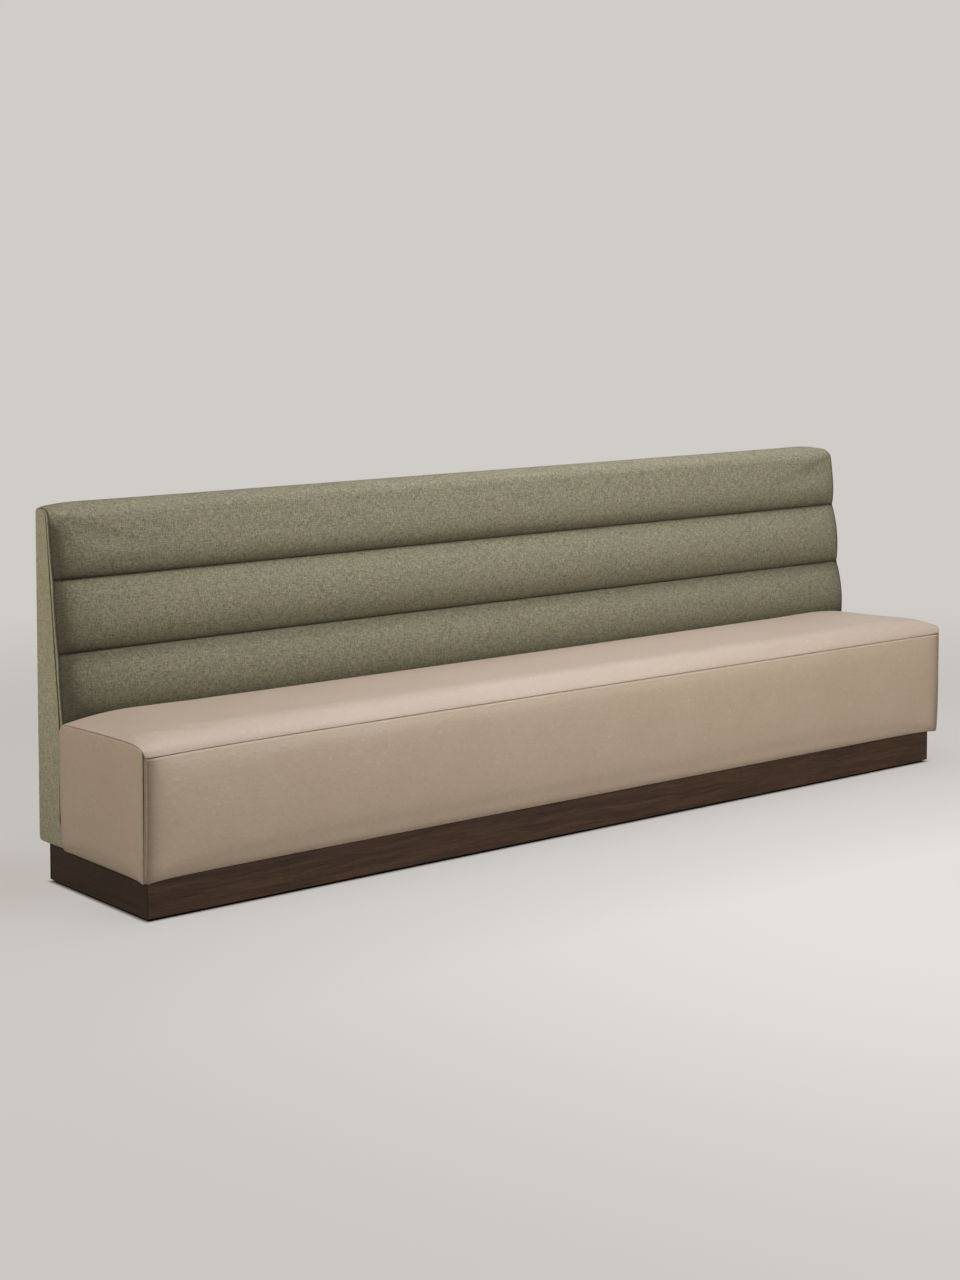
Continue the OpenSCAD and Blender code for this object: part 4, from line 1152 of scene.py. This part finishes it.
# %% Group: strands, fine streaks that run one way
def strands_group():
    tree, given, result = new_group(
        "strands",
        [("Place", "Vector", None), ("Across", "Vector", (500.0, 90.0, 90.0)),
         ("Detail", "Float", 2.0), ("Low", "Float", 0.45), ("High", "Float", 0.62)],
        [("Mask", "Float")])
    scaled = vector_math(tree, "MULTIPLY", given.outputs["Place"], given.outputs["Across"])
    noise = node(tree, "ShaderNodeTexNoise",
                 {"Vector": scaled, "Scale": 1.0, "Detail": given.outputs["Detail"],
                  "Roughness": 0.6})
    mask = ramp(tree, noise.outputs["Fac"], given.outputs["Low"], given.outputs["High"])
    tree.links.new(mask, result.inputs["Mask"])
    return tree


# %% Group: seams, painted shade: a dark line along each sewn edge, and the softer shade that each piece keeps in its crease attribute
def painted_seam_shade_group():
    tree, given, result = new_group(
        "seams",
        [("Line", "Float", 1.2), ("Depth", "Float", 0.7), ("Crease", "Float", 0.5)],
        [("Mask", "Float")])
    # Painted shade: Line and Depth draw the dark line from seam_mm, and Crease scales the
    # crease attribute.
    edge = node(tree, "ShaderNodeAttribute", attribute_name="seam_mm").outputs["Fac"]
    crease = node(tree, "ShaderNodeAttribute", attribute_name="crease").outputs["Fac"]
    end = math_node(tree, "MULTIPLY", given.outputs["Line"], 2.2)
    line = ramp(tree, edge, given.outputs["Line"], end, given.outputs["Depth"], 0.0)
    soft = math_node(tree, "MULTIPLY", crease, given.outputs["Crease"])
    tree.links.new(math_node(tree, "MAXIMUM", line, soft, clamp=True), result.inputs["Mask"])
    return tree


# %% Group: mitres, the dark line where two boards meet at a corner
MITRE_PLACE = (1.537, 0.255, 0.0)


def mitres_group():
    tree, given, result = new_group("mitres", [("Width", "Float", 0.0042)], [("Mask", "Float")])
    sides = vector_math(tree, "ABSOLUTE", on_object(tree))
    level = vector_math(tree, "MULTIPLY", sides, (1.0, 1.0, 0.0))
    apart = vector_math(tree, "DISTANCE", level, MITRE_PLACE)
    mask = ramp(tree, apart, 0.001, given.outputs["Width"], 0.9, 0.0)
    tree.links.new(mask, result.inputs["Mask"])
    return tree


CLOUDS = clouds_group()
STRANDS = strands_group()
PAINTED_SEAM_SHADE = painted_seam_shade_group()
MITRES = mitres_group()
print("shared groups:", [tree.name for tree in (CLOUDS, STRANDS, PAINTED_SEAM_SHADE, MITRES)])


# %% Using the groups in a finish
def use_group(tree, group, inputs=None):
    return node(tree, "ShaderNodeGroup", inputs, node_tree=group).outputs[0]


def clouds(tree, place, size, contrast, detail=3.0):
    return use_group(tree, CLOUDS, {"Place": place, "Size": size, "Detail": detail,
                                    "Contrast": contrast})


def strands(tree, place, across, low, high, detail=3.0):
    return use_group(tree, STRANDS, {"Place": place, "Across": across, "Detail": detail,
                                     "Low": low, "High": high})


def with_painted_seam_shade(tree, colour, line, depth, crease, dark):
    mask = use_group(tree, PAINTED_SEAM_SHADE, {"Line": line, "Depth": depth, "Crease": crease})
    return mix_colour(tree, mask, colour, dark)


def new_finish(title, roughness=0.6, metallic=0.0, specular=0.5):
    finish = bpy.data.materials.new(title)
    finish.use_nodes = True
    tree = finish.node_tree
    shader = tree.nodes["Principled BSDF"]
    shader.inputs["Roughness"].default_value = roughness
    shader.inputs["Metallic"].default_value = metallic
    shader.inputs["Specular IOR Level"].default_value = specular
    return finish, tree, shader


def uneven_gloss(tree, shader, mask, gain, low):
    rough = math_node(tree, "ADD", math_node(tree, "MULTIPLY", mask, gain), low)
    tree.links.new(rough, shader.inputs["Roughness"])


def bump(tree, shader, height, depth, strength=1.0, before=None):
    """depth is in metres, and before is a coarser or finer bump that this one adds to."""
    made = node(tree, "ShaderNodeBump", {"Height": height, "Distance": depth,
                                         "Strength": strength})
    if before is not None:
        tree.links.new(before.outputs["Normal"], made.inputs["Normal"])
    tree.links.new(made.outputs["Normal"], shader.inputs["Normal"])
    return made


# %% [markdown]
# ### Leather
#
# The seat is in a smooth, pale brown leather. From close by it has a fine pebbled grain, and
# from further off soft clouds of lighter and darker hide, and a few short creases. Grain goes
# to the bump, clouds to the colour and to the gloss. The finish is made twice, because the
# top is sat on, and its leather is duller than that of the sides. The top's copy is also
# tinted a little cooler, a painted tint for the whiter sheen that light gives the top.

# %% Leather
def leather_finish(title, tint=(0, 0, 0), coat=0.35, matt=0.46):
    def tone(*colour):
        return srgb(*(c + change for c, change in zip(colour, tint)))

    finish, tree, shader = new_finish(title, roughness=0.5, specular=0.5)
    shader.inputs["Coat Weight"].default_value = coat
    shader.inputs["Coat Roughness"].default_value = 0.5
    place = on_object(tree)
    patch = clouds(tree, place, 0.022, 1.2)
    broad = mix_colour(tree, clouds(tree, place, 0.19, 1.5), tone(161, 141, 118),
                       tone(170, 151, 129))
    fine = mix_colour(tree, patch, tone(158, 138, 115), tone(174, 155, 133))
    colour = mix_colour(tree, 0.4, broad, fine)
    scuff = strands(tree, place, (85.0, 85.0, 110.0), 0.6, 0.74)
    scuff = math_node(tree, "MULTIPLY", scuff, 0.3)
    colour = mix_colour(tree, scuff, colour, srgb(196, 178, 158))
    # Painted shade in a dark brown along the seams and over the crease bands.
    colour = with_painted_seam_shade(tree, colour, 0.8, 0.8, 0.66, srgb(64, 46, 32))
    tree.links.new(colour, shader.inputs["Base Color"])
    uneven_gloss(tree, shader, patch, 0.1, matt)
    pebble = node(tree, "ShaderNodeTexVoronoi", {"Vector": place, "Scale": 620.0,
                                                 "Smoothness": 0.6}, feature="SMOOTH_F1")
    grain = bump(tree, shader, pebble.outputs["Distance"], 0.0003, 0.4)
    crease = strands(tree, place, (70.0, 70.0, 85.0), 0.5, 0.72)
    bump(tree, shader, crease, 0.0007, 0.5, grain)
    return finish


# %% [markdown]
# ### Melange cloth
#
# The back's cloth is woven from yarns of several shades, so it reads as grey-green with pale
# and dark flecks. Two sets of streaks, one along each yarn direction, give the flecks, and a
# pair of waves gives the yarns' ridges. The pattern reads the cloth's flat map, so it bends
# with the channels instead of cutting through them. The ends have a copy of their own in
# paler colours: painted light, for the stronger light that falls on the ends.

# %% Cloth of the back
def cloth_finish(title, cool, warm, pale_yarn, dark_yarn):
    finish, tree, shader = new_finish(title, roughness=0.92, specular=0.2)
    flat = node(tree, "ShaderNodeUVMap", uv_map="cloth").outputs["UV"]
    place = on_object(tree)
    ground = mix_colour(tree, clouds(tree, place, 0.035, 2.6), cool, warm)
    patch = math_node(tree, "MULTIPLY", clouds(tree, place, 0.012, 2.0), 0.35)
    ground = mix_colour(tree, patch, ground, pale_yarn)
    pale = math_node(tree, "MAXIMUM",
                     strands(tree, flat, (360.0, 55.0, 1.0), 0.54, 0.68, 1.0),
                     strands(tree, flat, (52.0, 350.0, 7.0), 0.54, 0.68, 1.0))
    dark = math_node(tree, "MAXIMUM",
                     strands(tree, flat, (260.0, 100.0, 3.0), 0.52, 0.66, 1.5),
                     strands(tree, flat, (95.0, 260.0, 9.0), 0.53, 0.67, 1.5))
    colour = mix_colour(tree, math_node(tree, "MULTIPLY", dark, 0.55), ground, dark_yarn)
    colour = mix_colour(tree, math_node(tree, "MULTIPLY", pale, 0.62), colour, pale_yarn)
    # Painted shade in a dark green along the seams and over the crease bands.
    colour = with_painted_seam_shade(tree, colour, 0.9, 0.85, 0.75, srgb(42, 38, 26))
    tree.links.new(colour, shader.inputs["Base Color"])
    ridges = [node(tree, "ShaderNodeTexWave",
                   {"Vector": flat, "Scale": 170.0, "Distortion": 0.6, "Detail": 1.0},
                   wave_type="BANDS", bands_direction=axis).outputs["Fac"]
              for axis in ("X", "Y")]
    height = math_node(tree, "MULTIPLY", *ridges)
    fuzz = math_node(tree, "SUBTRACT", math_node(tree, "MULTIPLY", pale, 0.6), dark)
    bump(tree, shader, math_node(tree, "ADD", height, fuzz), 0.0007, 0.7)
    return finish


# %% [markdown]
# ### Dark wood of the plinth
#
# The plinth is a dark stained hardwood with its grain along the boards. Long streaks make
# the grain, slow waves bend them, and a dark line marks each mitred corner. The streaks run
# along X on the long boards and along Y on the end boards, so the finish is made twice. The
# plywood of the hidden frame is the same recipe in pale colours.

# %% Wood
def wood_finish(title, along_y, dark, pale, pores, roughness, mitred=True):
    finish, tree, shader = new_finish(title, roughness=roughness, specular=0.25)
    place = on_object(tree)
    if along_y:
        place = node(tree, "ShaderNodeMapping", {
            "Vector": place, "Rotation": (0, 0, math.pi / 2)}).outputs["Vector"]
    sway = node(tree, "ShaderNodeTexNoise", {"Vector": place, "Scale": 5.0, "Detail": 2.0})
    bend = vector_math(tree, "MULTIPLY", sway.outputs["Color"], (0.0, 0.012, 0.03))
    place = vector_math(tree, "ADD", place, bend)
    broad = strands(tree, place, (3.0, 60.0, 60.0), 0.32, 0.68, 4.0)
    fine = strands(tree, place, (14.0, 420.0, 420.0), 0.36, 0.66)
    pore = strands(tree, place, (45.0, 1300.0, 1300.0), 0.56, 0.68, 1.0)
    tone = math_node(tree, "ADD", math_node(tree, "MULTIPLY", broad, 0.6),
                     math_node(tree, "MULTIPLY", fine, 0.4))
    colour = mix_colour(tree, tone, dark, pale)
    colour = mix_colour(tree, math_node(tree, "MULTIPLY", pore, 0.6), colour, pores)
    if mitred:
        colour = mix_colour(tree, use_group(tree, MITRES), colour, srgb(12, 8, 6))
    tree.links.new(colour, shader.inputs["Base Color"])
    uneven_gloss(tree, shader, fine, 0.12, roughness - 0.06)
    bump(tree, shader, math_node(tree, "SUBTRACT", fine, pore), 0.0003, 0.5)
    return finish


# %% [markdown]
# ### Hidden metal, plastic and thread
#
# The glides, brackets and screws are zinc plated, with a slightly cloudy shine. The pads
# under the glides are black nylon. The sewing thread is pale on the seat and green or dark on
# the back, and a little glossy. One fine mask gives each of them its colour, gloss and bump.

# %% Metal, nylon and thread
def fine_finish(title, mask_on, dark, pale, low, depth, strength, **shine):
    finish, tree, shader = new_finish(title, **shine)
    mask = mask_on(tree, on_object(tree))
    tree.links.new(mix_colour(tree, mask, dark, pale), shader.inputs["Base Color"])
    uneven_gloss(tree, shader, mask, 0.2, low)
    bump(tree, shader, mask, depth, strength)
    return finish


def zinc_blush(tree, place):
    return clouds(tree, place, 0.006, 2.0, 4.0)


def moulded(tree, place):
    return clouds(tree, place, 0.002, 1.5)


def twisted(tree, place):
    return strands(tree, place, (900.0, 900.0, 900.0), 0.35, 0.65, 1.0)


def thread_finish(title, dark, pale):
    return fine_finish(title, twisted, dark, pale, 0.5, 0.0001, 0.5, roughness=0.6,
                       specular=0.35)


# %% The finishes
LEATHER = leather_finish("seat leather")
# The top's copy is duller, and tinted a little cooler as painted sheen.
TOP_LEATHER = leather_finish("seat top leather", (-4, -2, 4), 0.05, 0.55)
CLOTH = cloth_finish("back cloth", srgb(103, 103, 84), srgb(119, 111, 89),
                     srgb(156, 149, 125), srgb(69, 65, 49))
# The ends' copy is painted paler, standing in for the stronger light on the ends.
PAINTED_LIGHT_END_CLOTH = cloth_finish("back end cloth", srgb(145, 142, 115), srgb(158, 148, 121),
                         srgb(189, 180, 151), srgb(105, 99, 77))
WALNUT = wood_finish("dark wood along X", False, srgb(31, 18, 8), srgb(82, 56, 35),
                     srgb(20, 13, 9), 0.56)
WALNUT_END = wood_finish("dark wood along Y", True, srgb(39, 26, 16), srgb(61, 43, 28),
                         srgb(20, 13, 9), 0.56)
PLYWOOD = wood_finish("plywood", False, srgb(176, 146, 106), srgb(206, 180, 140),
                      srgb(140, 108, 72), 0.62, mitred=False)
ZINC = fine_finish("zinc plated steel", zinc_blush, srgb(168, 170, 176), srgb(205, 207, 210),
                   0.26, 0.00005, 0.4, roughness=0.34, metallic=1.0)
NYLON = fine_finish("black nylon", moulded, srgb(24, 24, 26), srgb(40, 40, 42), 0.42, 0.00008,
                    0.5, roughness=0.55, specular=0.45)
SEAT_THREAD = thread_finish("pale sewing thread", srgb(190, 176, 158), srgb(232, 220, 203))
BACK_THREAD = thread_finish("green sewing thread", srgb(84, 80, 62), srgb(122, 116, 94))
DARK_THREAD = thread_finish("dark sewing thread", srgb(48, 44, 30), srgb(74, 69, 51))

# %% Putting the finishes on
by_slot = {"plinth_wood": WALNUT, "frame_wood": PLYWOOD, "zinc_steel": ZINC,
           "glide_pad": NYLON, "leather": LEATHER, "back_fabric": CLOTH, "foam": CLOTH}
for name, made in nodes.items():
    for place in made.material_slots:
        slot = place.material.name.split(".")[0] if place.material else ""
        finish = by_slot.get(slot)
        if finish is WALNUT and ("left_board" in name or "right_board" in name):
            finish = WALNUT_END
        if finish is not None:
            place.material = finish
seat_ends = [bpy.data.objects[f"seat_{word}_pad"] for _, word in SIDES]
back_ends = [bpy.data.objects[f"back_{word}_end"] for _, word in SIDES]
for finish, pieces in ((TOP_LEATHER, [seat_top]), (PAINTED_LIGHT_END_CLOTH, back_ends),
                       (LEATHER, [seat_front_pad, strips, *seat_ends]),
                       (CLOTH, [back_pad, rear_panel])):
    for made in pieces:
        made.data.materials.append(finish)
print("finishes:", len(bpy.data.materials))

# %% [markdown]
# ## Rows of stitches
#
# The seams of the seat that show are sewn in a pale thread: one row under the front seam, one
# beside each end seam and one beside each corner strip. The back has a dark row beside the
# wavy front edge of each end, and a green row deep in each groove between its channels.

# %% Seat stitches
ROW_DROP = 5.5
row_half = SEAT_HALF - STRIP - 5
front_row = [(x, float(seat_front(SEAT_HALF - abs(x), SEAM_Z - 7)) + 2.4,
              SEAM_Z - ROW_DROP - float(seam_dip(SEAT_HALF - abs(x), x)))
             for x in np.linspace(-row_half, row_half, 420)]
stitch_row("front_stitches", seat_front_pad, [front_row], SEAT_THREAD,
           thickness=1.7)
for (side, word), made in zip(SIDES, seat_ends):
    row = [(side * SEAT_HALF, float(y), float(end_seam_z(y, side)) - 6)
           for y in np.linspace(seat_front(0, SEAM_Z) + 16, END_REAR_Y - 18, 90)]
    stitch_row(f"seat_{word}_stitches", made, [row], SEAT_THREAD)
strip_rows = [[(side * (SEAT_HALF - 10 - float(corner_pull(z))),
                float(seat_front(0, z)) + 2 + float(corner_pull(z)), float(z))
               for z in np.linspace(PLINTH_Z + 14, SEAM_Z - 14, 60)] for side, _ in SIDES]
stitch_row("corner_stitches", strips, strip_rows, SEAT_THREAD,
           pitch=7.5, length=4.2, thickness=0.8)

# %% Back stitches
for (side, word), made in zip(SIDES, back_ends):
    row = [(side * (BACK_HALF + 1), float(end_front_y(z)) + STITCH_IN, float(z))
           for z in np.linspace(STITCH_FOOT_Z, 1020, 260)]
    stitch_row(f"back_{word}_stitches", made, [row], DARK_THREAD,
               pitch=4.5, length=3.4, thickness=0.8)
row_half = BACK_SKIN_HALF - 12
groove_rows = [[(x, float(back_line(seam_z)) + 4, seam_z)
                for x in np.linspace(-row_half, row_half, 300)] for seam_z in CHANNEL_SEAMS]
stitch_row("channel_stitches", back_pad, groove_rows, BACK_THREAD,
           pitch=6, length=4.4, thickness=0.9)

# %% [markdown]
# ## Floor, world and lamps
#
# The bench stands in a plain studio. The floor takes the bench's shadow near it, and a dark
# painted contact shadow lies under the plinth. Away from the bench it fades into the same
# colour as the world, so that no horizon shows, with one painted pool of light in front and a
# faint warm painted shadow at the left end. Only the camera sees that fade and those two
# painted patches, so the light that the floor throws back stays even. A wide soft lamp
# overhead, one in front to the right and one at the left side light the surfaces to about
# their own colours.

# %% Floor
BACKGROUND = srgb(208, 204, 200)
PLINTH_CENTRE = (0.0, 0.003, 0.0)
PLINTH_HALF = (1.537, 0.258, 0.0)
PAINTED_LIGHT_PLACE = (0.35, -1.6, 0.0)
PAINTED_SHADOW_PLACE = (-1.75, 0.4, 0.0)


def patch_on_floor(tree, place, centre, inner, outer, strength):
    """A soft round patch: its strength inside the inner radius, nothing past the outer."""
    apart = vector_math(tree, "DISTANCE", place, centre)
    return ramp(tree, apart, inner, outer, strength, 0.0, "SMOOTHSTEP")


def floor_finish():
    finish, tree, shader = new_finish("pale floor", roughness=0.85, specular=0.1)
    place = on_object(tree)
    direct = node(tree, "ShaderNodeLightPath").outputs["Is Camera Ray"]
    moved = vector_math(tree, "SUBTRACT", place, PLINTH_CENTRE)
    beyond = vector_math(tree, "SUBTRACT", vector_math(tree, "ABSOLUTE", moved), PLINTH_HALF)
    parts = node(tree, "ShaderNodeSeparateXYZ", {"Vector": beyond})
    gap = math_node(tree, "MAXIMUM", parts.outputs["X"], parts.outputs["Y"])
    # Painted contact shadow: the floor under the plinth is nearly black, up to about its
    # outline.
    clear_of_painted_shadow = math_node(tree, "MULTIPLY", math_node(tree, "ADD", gap, 0.008), 150.0, clamp=True)
    colour = mix_colour(tree, direct, srgb(150, 147, 144), srgb(174, 170, 167))
    colour = mix_colour(tree, clear_of_painted_shadow, srgb(26, 24, 22), colour)
    tree.links.new(colour, shader.inputs["Base Color"])
    # Painted pool of light in front, and a warm painted shadow at the left end, which only the
    # camera sees.
    painted_light_pool = patch_on_floor(tree, place, PAINTED_LIGHT_PLACE, 0.5, 3.0, 1.0)
    painted_light_pool = math_node(tree, "MULTIPLY", painted_light_pool, math_node(tree, "MULTIPLY", gap, 1.2, clamp=True))
    shown = mix_colour(tree, painted_light_pool, BACKGROUND, srgb(236, 232, 229))
    warm = patch_on_floor(tree, place, PAINTED_SHADOW_PLACE, 0.05, 0.5, 0.9)
    shown = mix_colour(tree, warm, shown, srgb(204, 194, 187))
    flat = node(tree, "ShaderNodeEmission", {"Color": shown, "Strength": 1.0})
    share = ramp(tree, vector_math(tree, "LENGTH", place), 2.0, 5.0, 0.76, 1.0, "SMOOTHSTEP")
    share = math_node(tree, "MULTIPLY", share, direct)
    outside = math_node(tree, "MULTIPLY", gap, 90.0, clamp=True)
    share = math_node(tree, "MULTIPLY", share, outside)
    mixed = node(tree, "ShaderNodeMixShader", {0: share, 1: shader.outputs["BSDF"],
                                               2: flat.outputs["Emission"]})
    tree.links.new(mixed.outputs["Shader"], tree.nodes["Material Output"].inputs["Surface"])
    return finish


bpy.ops.mesh.primitive_grid_add(x_subdivisions=2, y_subdivisions=2, size=120)
floor = bpy.context.object
floor.name = "floor"
floor.data.materials.append(floor_finish())
print("floor, side in metres:", round(floor.dimensions.x))

# %% World
scene = bpy.context.scene
world = bpy.data.worlds.new("studio")
scene.world = world
world.use_nodes = True
sky = world.node_tree
sky.nodes.clear()
light = node(sky, "ShaderNodeBackground", {"Color": (1, 1, 1, 1), "Strength": 0.22})
shown = node(sky, "ShaderNodeBackground", {"Color": BACKGROUND, "Strength": 1.0})
ray = node(sky, "ShaderNodeLightPath")
seen = math_node(sky, "ADD", ray.outputs["Is Camera Ray"], ray.outputs["Is Glossy Ray"],
                 clamp=True)
seen = math_node(sky, "ADD", seen, ray.outputs["Is Transmission Ray"], clamp=True)
both = node(sky, "ShaderNodeMixShader", {0: seen, 1: light.outputs[0], 2: shown.outputs[0]})
node(sky, "ShaderNodeOutputWorld", {"Surface": both.outputs[0]})
scene.view_settings.view_transform = "Standard"
print("world:", world.name, "with", len(sky.nodes), "nodes")


# %% Lamps
def soft_lamp(name, place, target, size, watts, colour):
    """A rectangular lamp at a place, turned towards a target, both in metres."""
    data = bpy.data.lights.new(name, "AREA")
    data.shape = "RECTANGLE"
    data.size, data.size_y = size
    data.energy = watts
    data.color = colour
    lamp = bpy.data.objects.new(name, data)
    bpy.context.scene.collection.objects.link(lamp)
    lamp.location = place
    way = Vector(target) - Vector(place)
    lamp.rotation_euler = way.to_track_quat("-Z", "Y").to_euler()
    lamp.visible_camera = False
    print(name + ":", watts, "W,", round(way.length, 1), "m from its target")


soft_lamp("overhead lamp", (0.4, -0.45, 2.9), (0.15, -0.05, 0.4), (4.4, 1.5), 96,
          (0.9, 0.94, 1.0))
soft_lamp("front lamp", (1.6, -4.8, 2.0), (0, 0, 0.4), (2.4, 1.6), 152, (1.0, 0.99, 0.97))
soft_lamp("side lamp", (-4.2, -0.4, 2.2), (-1.5, 0, 0.6), (1.6, 1.2), 64, (1.0, 0.97, 0.92))
